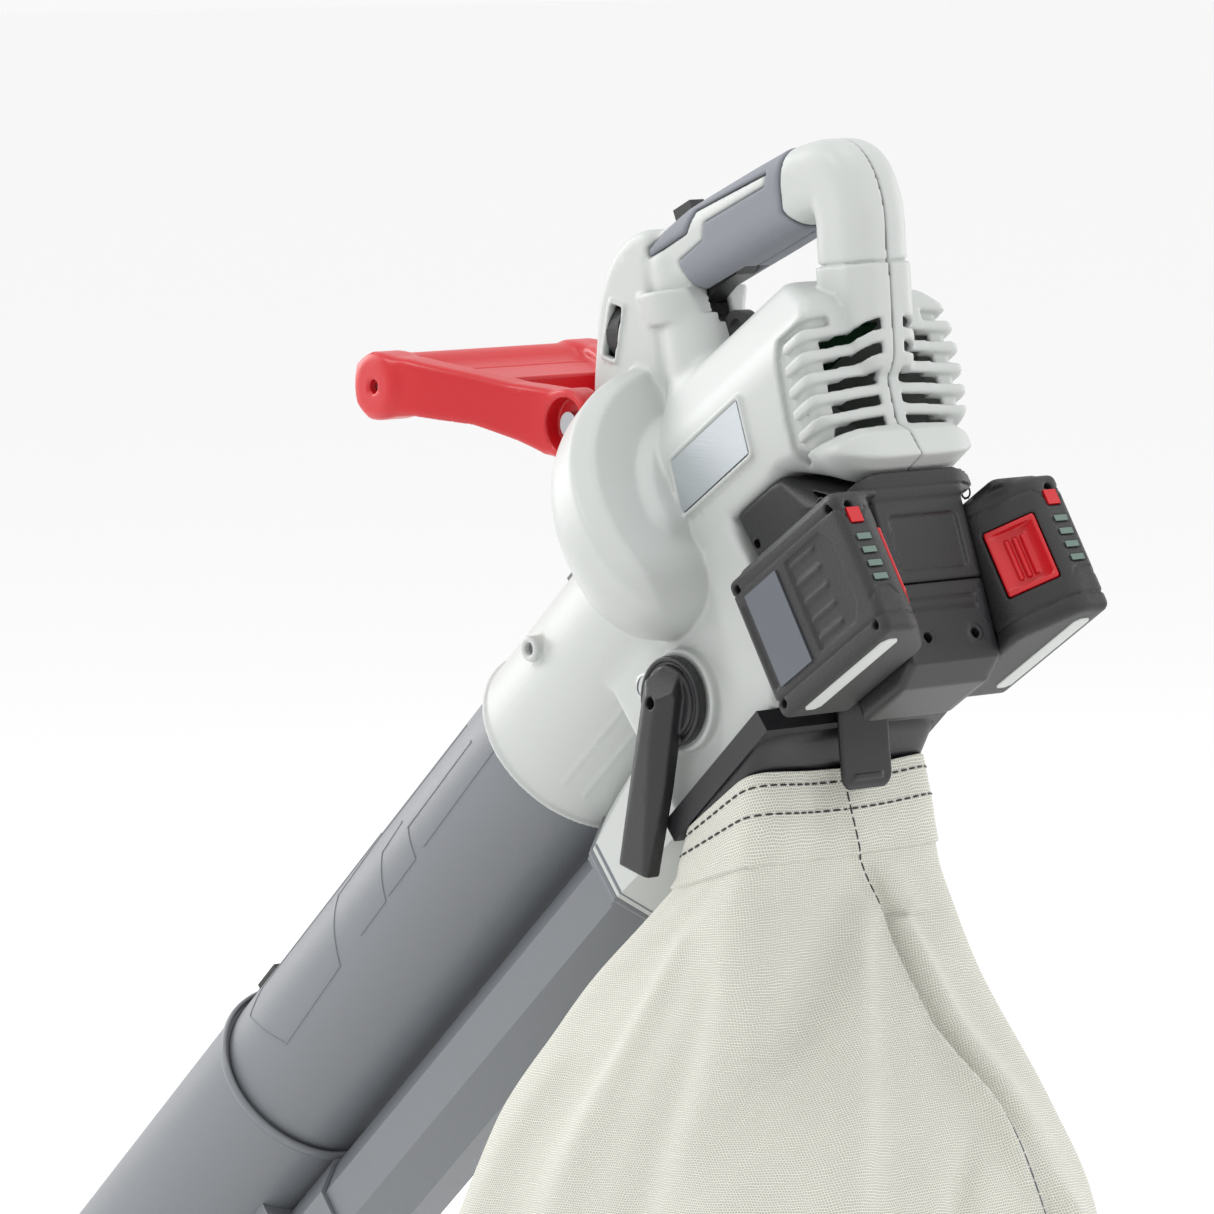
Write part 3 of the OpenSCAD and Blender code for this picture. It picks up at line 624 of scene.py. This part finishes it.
def wire_loop(name, points, r):
    """A bent wire as a mesh tube, ends closed."""
    path = np.array(rounded_path(points, 8))
    rows, faces, n = [], [], 10
    for i, p in enumerate(path):
        t = path[min(i + 1, len(path) - 1)] - path[max(i - 1, 0)]
        t = t / np.linalg.norm(t)
        a = np.cross(t, (0.3, 1, 0.1))
        a /= np.linalg.norm(a)
        b = np.cross(t, a)
        for s in range(n):
            q = p + r * (a * math.cos(2 * math.pi * s / n) + b * math.sin(2 * math.pi * s / n))
            rows.append((q[0] / 1000, q[1] / 1000, (q[2] - GRIP_H) / 1000))
    for i in range(len(path) - 1):
        here, after = i * n, (i + 1) * n
        faces += [(here + s, here + (s + 1) % n, after + (s + 1) % n, after + s) for s in range(n)]
    faces += [tuple(range(n))[::-1], tuple(range((len(path) - 1) * n, len(path) * n))]
    o = new_object(name, rows, faces, True)
    return dress(o, "steel", "mode_flap")


# ---------------------------------------------------------------- batteries


LOUVRE_PANEL = [(99, -108), (128, -108), (134, -100), (134, -70), (128, -61), (99, -61)]
END_LINES = (
    [(54, -58), (58, -62), (67, -62), (70.5, -56)],
    [(55, -104), (59, -99), (67, -99), (70.5, -104)],
)
BATTERY_STRIP = [(66, 58), (69, 55.5), (133, 55.5), (136, 58), (136, 63), (133, 65.5), (69, 65.5), (66, 63)]


def corner_frame(bx, v):
    """The frame of a battery's bevelled corner: out of its face, and along it."""
    out, along = bx - 146, v - 29
    return 0.669 * out - 0.743 * along + 16.5, -0.743 * out - 0.669 * along - 1.7


def battery_field(bx, v, bz):
    corner_x, corner_y = corner_frame(bx, v)
    d = block(bx, v, bz, (56, 29, -122), (146, 71, -49), 4)
    d = smax(d, corner_x, 5)
    pocket = np.maximum(np.maximum(np.abs(corner_y) - 13.4, slab(bz, -102.4, -67.6)), -(corner_x + 19))
    d = smax(d, -pocket, 0.8)
    hump = smax(smax(slab(bx, 62, 140), slab(v, 36, 66), 4), slab(bz, -50, -46.5), 2)
    d = smin(d, hump, 3)
    # Foot plate, parting grooves and the recessed louvres of the outer face
    for depth, low, high in ((1.0, -113.6, -112.4), (0.8, -57, -56.2)):
        d = smax(d, -np.maximum(slab(bz, low, high), -(d + depth)), 0.3)
    d = smax(d, -smax(polygon(bx, bz, LOUVRE_PANEL), 69.7 - v, 0.5), 0.8)
    for i in range(5):
        low = -104 + 9.5 * i
        rib = smax(smax(slab(bz, low, low + 2.5), slab(bx, 100, 120), 0.8), slab(v, 66, 70.6), 0.5)
        d = smin(d, rib, 0.6)
    d = smax(d, -smax(smax(slab(bx, 60.5, 64), slab(bz, -108, -64), 0.6), 70 - v, 0.4), 0.5)
    for sx, sz in ((139.5, -55), (139.5, -116), (62, -55), (62, -116)):
        d = smax(d, -smax(np.hypot(bx - sx, bz - sz) - 2.1, 65 - v, 0.4), 0.7)
    d = smax(d, -smax(np.hypot(v - 63, bz + 56.5) - 2.2, 141 - bx, 0.4), 0.7)
    lines = np.minimum(chain(v, bz, END_LINES[0]), chain(v, bz, END_LINES[1]))
    d = smax(d, -np.maximum(np.maximum(lines - 0.45, -(d + 0.8)), 140 - bx), 0.3)
    key = np.maximum(np.maximum(slab(v, 57.9, 66.1), slab(bz, -66.1, -57.9)), 140.6 - bx)
    d = np.maximum(d, -key)
    for i in range(4):
        lamp = np.maximum(np.maximum(slab(v, 57.6, 66.4), slab(bz, -75.4 - 7 * i, -71.6 - 7 * i)), 145.3 - bx)
        d = np.maximum(d, -lamp)
    socket = np.maximum(np.maximum(slab(bx, 50, 108), slab(v, 28, 34)), slab(bz, -116, -55))
    return np.maximum(d, -socket)


def body_mesh(name, low, high, step, side, field):
    """A piece sampled square to the motor housing, then turned into place."""
    g = Grid(low, high, step, side)
    o = g.mesh(name, field(g.x, g.v, g.z), 0.01)
    lift = Matrix.Translation((0, 0, GRIP_H / 1000))
    turn = Matrix.Rotation(-math.radians(BODY_PITCH), 4, "Y")
    o.data.transform(Matrix.Translation((0, 0, -GRIP_H / 1000)) @ turn @ lift)
    return o


def button_field(bx, v, bz):
    cx, cy = corner_frame(bx, v)
    d = block(cx, cy, bz, (-14, -13, -102), (0.9, 13, -68), 1.2)
    scoop = smax(smax(np.hypot(cx - 15.2, cy) - 18.5, slab(bz, -99.5, -70.5), 1.5), -(cx + 4), 1)
    d = smax(d, -scoop, 1.0)
    for i in range(3):
        rib = smax(np.hypot(cx + 2.6, cy + 4.2 - 4.2 * i) - 1.3, slab(bz, -96, -75), 0.8)
        d = smin(d, rib, 0.8)
    return d


def strip_field(bx, v, bz):
    return smax(polygon(bx, v, BATTERY_STRIP), slab(bz, -122.5, -121), 0.4)


def build_batteries():
    for side, name in ((-1, "left"), (1, "right")):
        body = "battery_" + name
        o = body_mesh(f"battery_{name}_case", (52, 25, -126), (150, 75, -43), 0.9, side, battery_field)
        dress(o, "battery_black", body, "battery_" + name)
        o = body_mesh(f"release_button_{name}_cap", (112, 22, -106), (152, 62, -64), 0.6, side, button_field)
        dress(o, "red_plastic", "release_button_" + name, "release_button_" + name)
        o = body_mesh(f"battery_{name}_strip", (58, 50, -126), (144, 72, -118), 0.6, side, strip_field)
        dress(o, "housing_white", body)


# ---------------------------------------------------------------- dock

DOCK_HALF = 28.7
CAP_SIDE = [(54.3, -13), (92, -13), (116, -34), (131, -34), (126, -46), (58, -46)]
CAP_INSIDE = [(58, 0), (90, 0), (90, -16), (110, -34), (120, -38), (118, -42), (61, -42)]
NECK_SIDE = [(62, -40), (127, -40), (124.5, -52), (117, -86), (62, -86)]
NECK_INSIDE = [(66, -38), (119, -38), (111, -90), (66, -90)]
FOOT_SIDE = [(62, -86.4), (117, -86.4), (108, -124), (94, -130), (62, -130)]


def screw_well(d, centre, r, depth):
    """Sinks a screw hole: centre is the distance from its axis and depth the one from its floor."""
    rim = smax(centre - r - 1.6, np.abs(depth) - 0.5, 0.6)
    return smax(smin(d, rim, 0.6), -smax(centre - r, -depth - 5, 0.4), 0.5)


def dock_cap_field(bx, y, bz):
    v = np.abs(y)
    d = smax(polygon(bx, bz, CAP_SIDE), v - 46.6, 3 + 22 * ramp(bx, 84, 112))
    d = smax(d, -46.2 - bz, 1.5)
    groove = np.maximum(np.abs(bz + 41.5) - 0.5, -(d + 0.9))
    d = smax(d, -groove, 0.3)
    neck = smax(smax(polygon(bx, bz, NECK_SIDE), v - DOCK_HALF, 3.5), -86 - bz, 0.8)
    panel = smax(smax(slab(v, -1, 21), slab(bz, -80, -54), 3), -(neck + 1.1), 0.3)
    d = smin(d, smax(neck, -panel, 0.5), 2.0)
    for px, pz in ((60.5, -31.5), (111, -38.5)):
        d = screw_well(d, np.hypot(bx - px, bz - pz), 2.3, v - 45.6)
    inside = smax(polygon(bx, bz, CAP_INSIDE), v - 40, 1)
    well = smax(polygon(bx, bz, NECK_INSIDE), v - DOCK_HALF + 4, 1)
    return smax(d, -np.minimum(inside, well), 0.4)


def dock_foot_field(bx, y, bz):
    v = np.abs(y)
    d = smax(polygon(bx, bz, FOOT_SIDE), v - DOCK_HALF, 4)
    d = smax(d, bz + 86.4, 0.8)
    for pv in (-15, 15):
        slope = (bx - 117) - 0.239 * (bz + 86.2)
        d = screw_well(d, np.hypot(y - pv, bz + 112), 2.4, slope)
    for pz in (-94, -99):
        line = np.maximum(np.maximum(np.abs(bz - pz) - 0.5, v - 20), -(d + 0.9))
        d = smax(d, -line, 0.3)
    return d


def build_dock():
    o = body_mesh("dock_cap", (50, -50, -90), (135, 50, -9), 0.9, 1, dock_cap_field)
    dress(o, "black_plastic", "machine", "dock_base")
    o = body_mesh("dock_foot", (58, -32, -134), (121, 32, -83), 0.8, 1, dock_foot_field)
    dress(o, "black_plastic", "machine", "dock_lower")


# ---------------------------------------------------------------- bag

# Levels of the bag from its mouth to its floor: the front point, the rear point and the half width
BAG_LEVELS = [
    (24, -137, 77, -99, 56), (21, -152, 81, -122, 59), (17, -165, 83, -143, 62),
    (-6, -190, 86, -176, 72), (-42, -234, 106, -227, 87), (-80, -290, 134, -272, 99),
    (-102, -346, 162, -328, 104), (-109, -405, 167, -402, 104), (-107, -452, 165, -452, 103),
    (-97, -484, 154, -484, 96), (-78, -498, 134, -498, 78), (-20, -500, 60, -500, 24),
]
HEM_ROW, SEAM_END = 2.0, 2.9
LAST_LEVEL = len(BAG_LEVELS) - 1
# Levels over which the folds fade out towards the floor
FADE = (9.2, 10.6)
# Folds: side angle in degrees and level at each end, height, half width in degrees
BAG_FOLDS = [
    (4, 3.0, -62, 7.6, 7.0, 13), (-14, 3.3, -66, 5.4, -6.0, 14), (-84, 3.2, -118, 6.6, 4.5, 12),
    (-60, 3.6, -112, 8.2, -4.5, 11), (20, 5.1, -2, 5.9, -4.0, 7), (27, 6.2, 4, 6.7, -4.5, 6),
    (20, 4.2, 38, 6.3, 5.5, 5), (36, 6.3, 58, 6.9, -5.0, 7), (-124, 4.4, -136, 7.4, 3.5, 8),
    (60, 4.0, 84, 7.8, 5.0, 12), (110, 3.4, 96, 7.2, -5.0, 14), (150, 3.6, 138, 7.6, 5.0, 13),
    (178, 4.0, 190, 7.8, -4.5, 12), (-160, 3.6, -172, 7.4, -4.5, 12), (-96, 6.4, -50, 8.3, 4.0, 9),
    (-28, 6.8, 10, 8.4, -4.0, 9),
]


def seam_angle(level):
    """Side angle of the rear seam, which drifts to the right on its way down."""
    return np.interp(level, [0, 2, 3, 5, 7, 9, 11], [-3, 3, 14, 26, 33, 35, 35])


def bag_levels(t):
    table = np.array(BAG_LEVELS, float)
    i = np.clip(np.floor(t).astype(int), 0, len(table) - 2)
    f = (t - i)[..., None]
    a, b, c, d = (table[np.clip(i + k, 0, len(table) - 1)] for k in (-1, 0, 1, 2))
    return spline(a, b, c, d, f)


def bag_point(angle, t):
    """Points of the bag's skin before its folds, for side angles in degrees (0 is the rear)."""
    fx, fz, rx, rz, half = np.moveaxis(bag_levels(t), -1, 0)
    a = np.radians(angle)
    loose = ramp(t, 2, 6)
    # The front left and rear right corners stay full and the other two are slack
    n = 8 * (1 - loose) + loose * (8.5 + 6.0 * np.sin(2 * a))
    r = (np.abs(np.cos(a)) ** n + np.abs(np.sin(a)) ** n) ** (-1 / n)
    px, py = r * np.cos(a), r * np.sin(a)
    x = (fx + rx) / 2 + (rx - fx) / 2 * px
    z = (fz + rz) / 2 + (rz - fz) / 2 * px
    # The collar's edge dips between its corners
    z = z - 4.0 * (1 - ramp(t, 0.5, 3)) * (1 - py * py) * ramp(px, 0.2, 1)
    return np.stack([x, half * py, z], -1)


def wrap(a):
    return (a + 180) % 360 - 180


def bag_relief(angle, t):
    """How far the folds, the hem and the seam stand out of the skin."""
    out = 1.6 * (t < HEM_ROW)
    for a0, t0, a1, t1, height, width in BAG_FOLDS:
        da, dt = a1 - a0, t1 - t0
        k = np.clip((wrap(angle - a0) * da / 900 + (t - t0) * dt) / (da * da / 900 + dt * dt), 0, 1)
        off = np.hypot(wrap(angle - a0 - k * da), 30 * (t - t0 - k * dt))
        swell = 0.35 + 0.65 * np.sin(np.pi * np.clip(k, 0.02, 0.98))
        out = out + 1.5 * height * np.exp(-((off / (0.6 * width)) ** 2)) * swell
    side = wrap(angle - seam_angle(t)) * np.where(t < 3, 1.0, 1.6)
    below = ramp(t, 1.8, 3.2)
    out = out + 1.4 * np.exp(-((side / 1.6) ** 2)) - 6.0 * below * np.exp(-(((side - 5) / 3.0) ** 2))
    out = out + 5.0 * below * np.exp(-(((side - 13) / 6) ** 2))
    out = out + 2.2 * np.exp(-((wrap(angle + 36) / 10) ** 2)) * np.exp(-(((t - 1.3) / 0.7) ** 2))
    out = out - 3.5 * np.exp(-((wrap(angle + 14) / 11) ** 2)) * np.exp(-(((t - 0.6) / 0.8) ** 2))
    return out * (1 - ramp(t, *FADE))


def bag_surface(angle, t):
    angle, t = np.broadcast_arrays(np.asarray(angle, float), np.asarray(t, float))
    p = bag_point(angle, t)
    after = np.minimum(t + 0.03, LAST_LEVEL - 0.02)
    round_step = bag_point(angle + 0.4, t) - p
    down_step = bag_point(angle, after) - bag_point(angle, after - 0.03)
    n = np.cross(down_step, round_step)
    n /= np.maximum(np.linalg.norm(n, axis=-1, keepdims=True), 1e-9)
    outward = np.sum(n * (p - np.array([30.0, 0, -330.0])), -1, keepdims=True)
    n = np.where(outward < 0, -n, n)
    ripple = 0.9 * np.sin(angle * 0.11 + 3.1 * t) * np.sin(1.9 * t + angle * 0.043) * ramp(t, 1, 3)
    return p + n * (bag_relief(angle, t) + ripple * (1 - ramp(t, *FADE)))[..., None], n


def weave_material():
    """Open-weave cloth with rows of small holes, measured along the cloth itself."""
    m = material("bag_fabric", (0.74, 0.735, 0.655), 0.85, sheen=0.25, mottle=0.03)
    t = m.node_tree
    shader = t.nodes["Principled BSDF"]
    shader.inputs["Sheen Roughness"].default_value = 0.5
    base = shader.inputs["Base Color"].links[0].from_socket
    along = t.nodes.new("ShaderNodeUVMap")
    along.uv_map = "cloth"
    warp = t.nodes.new("ShaderNodeTexNoise")
    warp.inputs["Scale"].default_value = 0.15
    t.links.new(along.outputs["UV"], warp.inputs["Vector"])
    shift = t.nodes.new("ShaderNodeVectorMath")
    shift.operation = "MULTIPLY_ADD"
    shift.inputs[1].default_value = (1.6, 1.6, 0)
    t.links.new(warp.outputs["Color"], shift.inputs[0])
    t.links.new(along.outputs["UV"], shift.inputs[2])
    holes = t.nodes.new("ShaderNodeTexBrick")
    holes.inputs["Scale"].default_value = 1.0
    holes.inputs["Brick Width"].default_value = 1.0
    holes.inputs["Row Height"].default_value = 0.86
    holes.inputs["Mortar Size"].default_value = 0.24
    holes.inputs["Mortar Smooth"].default_value = 0.85
    t.links.new(shift.outputs["Vector"], holes.inputs["Vector"])
    darker = t.nodes.new("ShaderNodeMapRange")
    darker.inputs["To Min"].default_value = 0.60
    darker.inputs["To Max"].default_value = 1.06
    t.links.new(holes.outputs["Fac"], darker.inputs["Value"])
    mix = t.nodes.new("ShaderNodeVectorMath")
    mix.operation = "SCALE"
    t.links.new(base, mix.inputs[0])
    t.links.new(darker.outputs["Result"], mix.inputs["Scale"])
    t.links.new(mix.outputs["Vector"], shader.inputs["Base Color"])
    add_bump(t, holes.outputs["Fac"], 0.6, 0.0005)
    return m


def build_bag():
    across, down = ((330, 240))
    angles = np.linspace(-180, 180, across, endpoint=False)
    levels = np.sort(np.concatenate([np.linspace(0, LAST_LEVEL, down), [HEM_ROW - 0.01, HEM_ROW + 0.01]]))
    rows = len(levels)
    points, _ = bag_surface(angles[None, :], levels[:, None])
    ring = np.linalg.norm(np.roll(points, -1, 1) - points, axis=2)
    along = np.cumsum(ring, 1) - ring
    along = along - along[:, across // 4 : across // 4 + 1]
    step = np.linalg.norm(points[1:] - points[:-1], axis=2).mean(1)
    fall = np.concatenate([[0], np.cumsum(step)])
    flat = points.reshape(-1, 3) - (0, 0, GRIP_H)
    faces, weave = [], []
    cell = 1.45
    for i in range(rows - 1):
        for j in range(across):
            k = (j + 1) % across
            faces.append((i * across + j, i * across + k, (i + 1) * across + k, (i + 1) * across + j))
            right = [along[r, k] if k else along[r, j] + ring[r, j] for r in (i, i + 1)]
            weave += [
                (along[i, j] / cell, fall[i] / cell), (right[0] / cell, fall[i] / cell),
                (right[1] / cell, fall[i + 1] / cell), (along[i + 1, j] / cell, fall[i + 1] / cell),
            ]
    last = (rows - 1) * across
    faces.append(tuple(last + j for j in range(across)))
    weave += [tuple(q) for q in flat[last:, :2] / cell]
    o = new_object("bag_cloth", flat / 1000, faces, True)
    layer = o.data.uv_layers.new(name="cloth")
    layer.data.foreach_set("uv", np.array(weave, np.float32).ravel())
    face = o.data.polygons[across * 3]
    if face.normal.dot(face.center - Vector((0.03, 0, -0.4))) < 0:
        o.data.flip_normals()
    skin = o.modifiers.new("thickness", "SOLIDIFY")
    skin.thickness = 0.0009
    skin.offset = -1
    dress(o, "bag_fabric", "bag", "bag")

    dashes = []
    for level in (0.34, 0.86):
        dashes += dash_row(np.linspace(-178, 178, 1200), np.full(1200, level), 4.2, 1.4)
    seam_t = np.linspace(0.3, SEAM_END, 300)
    dashes += dash_row(seam_angle(seam_t) + 1.2, seam_t, 5.0, 1.2)
    stitches = dash_mesh("bag_stitching", dashes, 0.55)
    dress(stitches, "black_plastic", "bag")
    seam_t = np.linspace(SEAM_END, 9, 500)
    line = dash_mesh("bag_seam", dash_row(seam_angle(seam_t) + 1.5, seam_t, 6.5, 0.5), 0.4)
    dress(line, "label_grey", "bag")


def build_mouth_skirt():
    """The rubber skirt that joins the bag's frame to the cloth."""
    across = 120
    rows = []
    top = [level_point(x, -116.5, TUBE_PITCH) for x in (-77, 13)]
    low = bag_levels(np.array([0.0]))[0]
    a = np.radians(np.linspace(-180, 180, across, endpoint=False))
    r = (np.abs(np.cos(a)) ** 9 + np.abs(np.sin(a)) ** 9) ** (-1 / 9)
    px, py = r * np.cos(a), r * np.sin(a)
    for depth, k in ((0, 0), (0, 0.5), (0, 1), (0, 1.15), (2.2, 1.15), (2.2, 0.5), (2.2, 0)):
        fx, fz = top[0][0] * (1 - k) + low[0] * k, top[0][1] * (1 - k) + low[1] * k
        rx, rz = top[1][0] * (1 - k) + low[2] * k, top[1][1] * (1 - k) + low[3] * k
        half = 57 * (1 - k) + (low[4] - 0.5) * k - depth
        x = (fx + rx) / 2 + ((rx - fx) / 2 - depth) * px
        z = (fz + rz) / 2 + (rz - fz) / 2 * px - GRIP_H
        rows.append(np.stack([x, half * py, z], -1) / 1000)
    n = len(rows)
    faces = []
    for i in range(n):
        here, after = i * across, (i + 1) % n * across
        for j in range(across):
            k = (j + 1) % across
            faces.append((here + j, here + k, after + k, after + j))
    o = new_object("bag_mouth_skirt", np.concatenate(rows), faces, True)
    dress(o, "black_plastic", "bag")


def build_latch():
    """A tongue that hangs from the latch pin over the bag's mouth."""
    px, pz = level_point(19, -111, TUBE_PITCH)
    g = Grid((px - 8, -18, pz - 48), (px + 14, 18, pz + 8), 0.6)
    x, y, z = g.x - px, g.y, g.z - pz
    v = np.abs(y)
    eye = smax(np.hypot(x, z) - 4.2, v - 14, 0.8)
    bend = x - 3.4 - 3.0 * ramp(-z, 6, 40)
    tongue = smax(smax(np.abs(bend) - 1.5, v - 15.5 + 2.5 * ramp(-z, 34, 42), 1.2), slab(z, -42, 0), 5)
    rib = smax(smax(np.abs(bend - 1.4) - 1.0, v - 9, 1.0), slab(z, -36, -33.4), 0.8)
    d = smin(smin(eye, tongue, 2.5), rib, 1.0)
    d = np.maximum(d, 2.05 - np.hypot(x, z))
    o = g.mesh("bag_latch_tongue", d, 0.01)
    dress(o, "black_plastic", "bag_latch", "bag_latch")


LINE_HALF, LINE_HEIGHT = 0.9, 0.45
TUBE_MARKS = {
    "top": [(-172, 24), (-172, 4), (-254, 1)],
    "second": [(-190, 24), (-262, 21), (-264, 0), (-296, -1)],
    "third": [(-268, 30), (-291, 26), (-300, -2), (-330, -3)],
    "panel": [
        (-200, 46), (-300, 45), (-344, 38), (-352, 7), (-356, -5), (-425, -9), (-450, 30), (-440, 46),
        (-300, 50),
    ],
}


def tube_outline(name, corners, r):
    """A raised line on a tube, through corners given as a station and a side angle in degrees."""
    points, faces, path = [], [], []
    for a, b in zip(corners, corners[1:]):
        path += [(a[0] + (b[0] - a[0]) * k / 12, a[1] + (b[1] - a[1]) * k / 12) for k in range(12)]
    path.append(corners[-1])
    for i, (st, ang) in enumerate(path):
        p, q = path[max(i - 1, 0)], path[min(i + 1, len(path) - 1)]
        along, round_ = q[0] - p[0], math.radians(q[1] - p[1]) * r
        size = math.hypot(along, round_)
        sx, sa = -round_ / size * LINE_HALF, math.degrees(along / size * LINE_HALF / r)
        for side, lift in ((-1, -0.4), (-0.6, LINE_HEIGHT), (0.6, LINE_HEIGHT), (1, -0.4)):
            a = math.radians(ang + side * sa)
            x, y, up = st + side * sx, -(r + lift) * math.cos(a), (r + lift) * math.sin(a)
            lx, lz = level_point(x, up, TUBE_PITCH)
            points.append((lx / 1000, y / 1000, (lz - GRIP_H) / 1000))
    for i in range(len(path) - 1):
        faces += [(i * 4 + k, i * 4 + (k + 1) % 4, i * 4 + 4 + (k + 1) % 4, i * 4 + 4 + k) for k in range(4)]
    faces += [(3, 2, 1, 0), tuple(range(len(points) - 4, len(points)))]
    o = new_object(name, points, faces)
    return dress(o, "tube_grey", "machine")


def tube_ring(name, station, r, width, z=0.0, sides=96, turn=0.0):
    """A rounded ring round a tube."""
    points, faces = [], []
    section = [(-width, -0.6), (-width * 0.8, 1.0), (0, 1.5), (width * 0.8, 1.0), (width, -0.6), (0, -1.2)]
    for i in range(sides):
        a = 2 * math.pi * i / sides + turn
        for dx, dr in section:
            lx, lz = level_point(station + dx, (r + dr) * math.sin(a) + z, TUBE_PITCH)
            points.append((lx / 1000, (r + dr) * math.cos(a) / 1000, (lz - GRIP_H) / 1000))
    n = len(section)
    for i in range(sides):
        j = (i + 1) % sides
        faces += [(i * n + k, i * n + (k + 1) % n, j * n + (k + 1) % n, j * n + k) for k in range(n)]
    o = new_object(name, points, faces, sides > 16)
    return dress(o, "tube_grey", "machine")


def build_tube_details():
    tube_ring("suction_joint_ring", -476, 53.2, 3.0)
    tube_ring("blow_flange_front", -160.5, 36.5, 2.2, BLOW_AXIS, 8, turn=math.pi / 8)
    tube_ring("blow_flange_rear", -154.5, 36.5, 1.6, BLOW_AXIS, 8, turn=math.pi / 8)
    for place_name, corners in TUBE_MARKS.items():
        tube_outline("suction_mark_" + place_name, corners, 50)


def dash_row(angle, t, length, space):
    """Splits a line on the cloth into stitches."""
    p, n = bag_surface(angle, t)
    run = np.concatenate([[0], np.cumsum(np.linalg.norm(p[1:] - p[:-1], axis=1))])
    out = []
    at = 0.0

    def along(q, place_on_line):
        return np.array([np.interp(place_on_line, run, q[:, c]) for c in range(3)])

    while at + length < run[-1]:
        out.append([along(q, at + d) for q in (p, n) for d in (0, length)])
        at += length + space
    return out


def dash_mesh(name, dashes, r):
    points, faces = [], []
    for a, b, na, _ in dashes:
        way = (b - a) / np.linalg.norm(b - a)
        side = np.cross(way, na)
        side /= np.linalg.norm(side)
        base = len(points)
        for p, w in ((a, 0.35), (a + way * 0.9, 1.0), (b - way * 0.9, 1.0), (b, 0.35)):
            for s in range(6):
                c, q = math.cos(math.pi * s / 3), math.sin(math.pi * s / 3)
                points.append((p + na * (0.25 + w * r * c) + side * (w * r * q) - (0, 0, GRIP_H)) / 1000)
        for i in range(3):
            here = base + i * 6
            faces += [(here + s, here + (s + 1) % 6, here + 6 + (s + 1) % 6, here + 6 + s) for s in range(6)]
        faces += [tuple(base + s for s in range(5, -1, -1)), tuple(base + 18 + s for s in range(6))]
    return new_object(name, points, faces, True)


# ---------------------------------------------------------------- the rest of the CAD nodes

# Widths of the rounded edges of the CAD nodes that show
EDGES = {
    "blow_duct": 2.0, "suction_tube_upper": 0.5, "suction_tube_lower": 0.8, "blow_tube_upper": 1.6,
    "blow_tube_lower": 1.0, "badge": 0.4, "lock_button": 1.5, "trigger": 1.2, "speed_dial": 0.6,
    "strap_eye": 1.2, "front_handle_bolt": 0.6, "front_handle_knob": 1.2, "collar_clip": 1.0,
    "joint_clip": 1.2, "tube_link": 1.0, "wheel_bracket": 1.5, "wheel_left": 1.5, "wheel_right": 1.5,
    "bag_frame": 1.5, "charge_key_left": 0.6, "charge_key_right": 0.6, "housing_screws": 0.4,
    "tube_screws": 0.3,
}


def dress_nodes():
    for name, o in NODES.items():
        slot_name = finish_of(name)
        if slot_name == "bag_fabric":
            continue
        o.data.materials.clear()
        o.data.materials.append(MATS[slot_name])
        if name in EDGES:
            soften(o, EDGES[name])


# ---------------------------------------------------------------- camera and studio


FLOOR_HALF, FLOOR_Z = 30, -0.816
CAMERA_LOOK = Vector((-0.0375, -0.0525, -0.182))
CAMERA_BACK = Vector((0.771353, -0.624629, 0.121869))
CAMERA_DISTANCE, VIEW_WIDTH, SENSOR_WIDTH = 3.0, 0.592, 36
LIGHTS = (
    ("key", (-0.9, -2.2, 2.2), 0.8, 25),
    ("side", (2.6, 0.8, 1.3), 1.0, 10),
    ("top", (0.0, 0.5, 2.8), 1.6, 16),
    ("rim_left", (-2.4, -0.6, 0.5), 1.4, 26),
    ("rim_right", (0.5, 2.2, 0.3), 1.2, 12),
)


def studio():
    scene = bpy.context.scene
    scene.view_settings.view_transform = "Standard"
    world = bpy.data.worlds.new("studio")
    scene.world = world
    world.use_nodes = True
    sky = world.node_tree.nodes["Background"]
    sky.inputs["Color"].default_value = (1, 1, 1, 1)
    sky.inputs["Strength"].default_value = 0.95
    corners = [(FLOOR_HALF * x, FLOOR_HALF * y, FLOOR_Z) for x, y in ((-1, -1), (1, -1), (1, 1), (-1, 1))]
    floor = new_object("floor", corners, [(0, 1, 2, 3)])
    m = bpy.data.materials.new("floor")
    m.use_nodes = True
    shader = m.node_tree.nodes["Principled BSDF"]
    shader.inputs["Base Color"].default_value = (0.98, 0.98, 0.98, 1)
    shader.inputs["Roughness"].default_value = 0.9
    floor.data.materials.append(m)
    for name, at, size, power in LIGHTS:
        light = bpy.data.lights.new(name, "AREA")
        light.size = size
        light.energy = power
        o = bpy.data.objects.new(name, light)
        o.location = at
        o.rotation_euler = (Vector((0, 0, -0.2)) - Vector(at)).to_track_quat("-Z", "Y").to_euler()
        scene.collection.objects.link(o)
    camera = bpy.data.cameras.new("camera")
    camera.sensor_width = SENSOR_WIDTH
    camera.lens = SENSOR_WIDTH * CAMERA_DISTANCE / VIEW_WIDTH
    camera.clip_end = 200
    o = bpy.data.objects.new("camera", camera)
    o.location = CAMERA_LOOK + CAMERA_DISTANCE * CAMERA_BACK
    o.rotation_euler = (-CAMERA_BACK).to_track_quat("-Z", "Y").to_euler()
    scene.collection.objects.link(o)
    scene.camera = o


dress_nodes()
build_housing()
build_grips()
build_front_handle()
build_lever()
build_batteries()
build_dock()
MATS["bag_fabric"] = weave_material()
build_bag()
build_mouth_skirt()
build_latch()
build_tube_details()
studio()
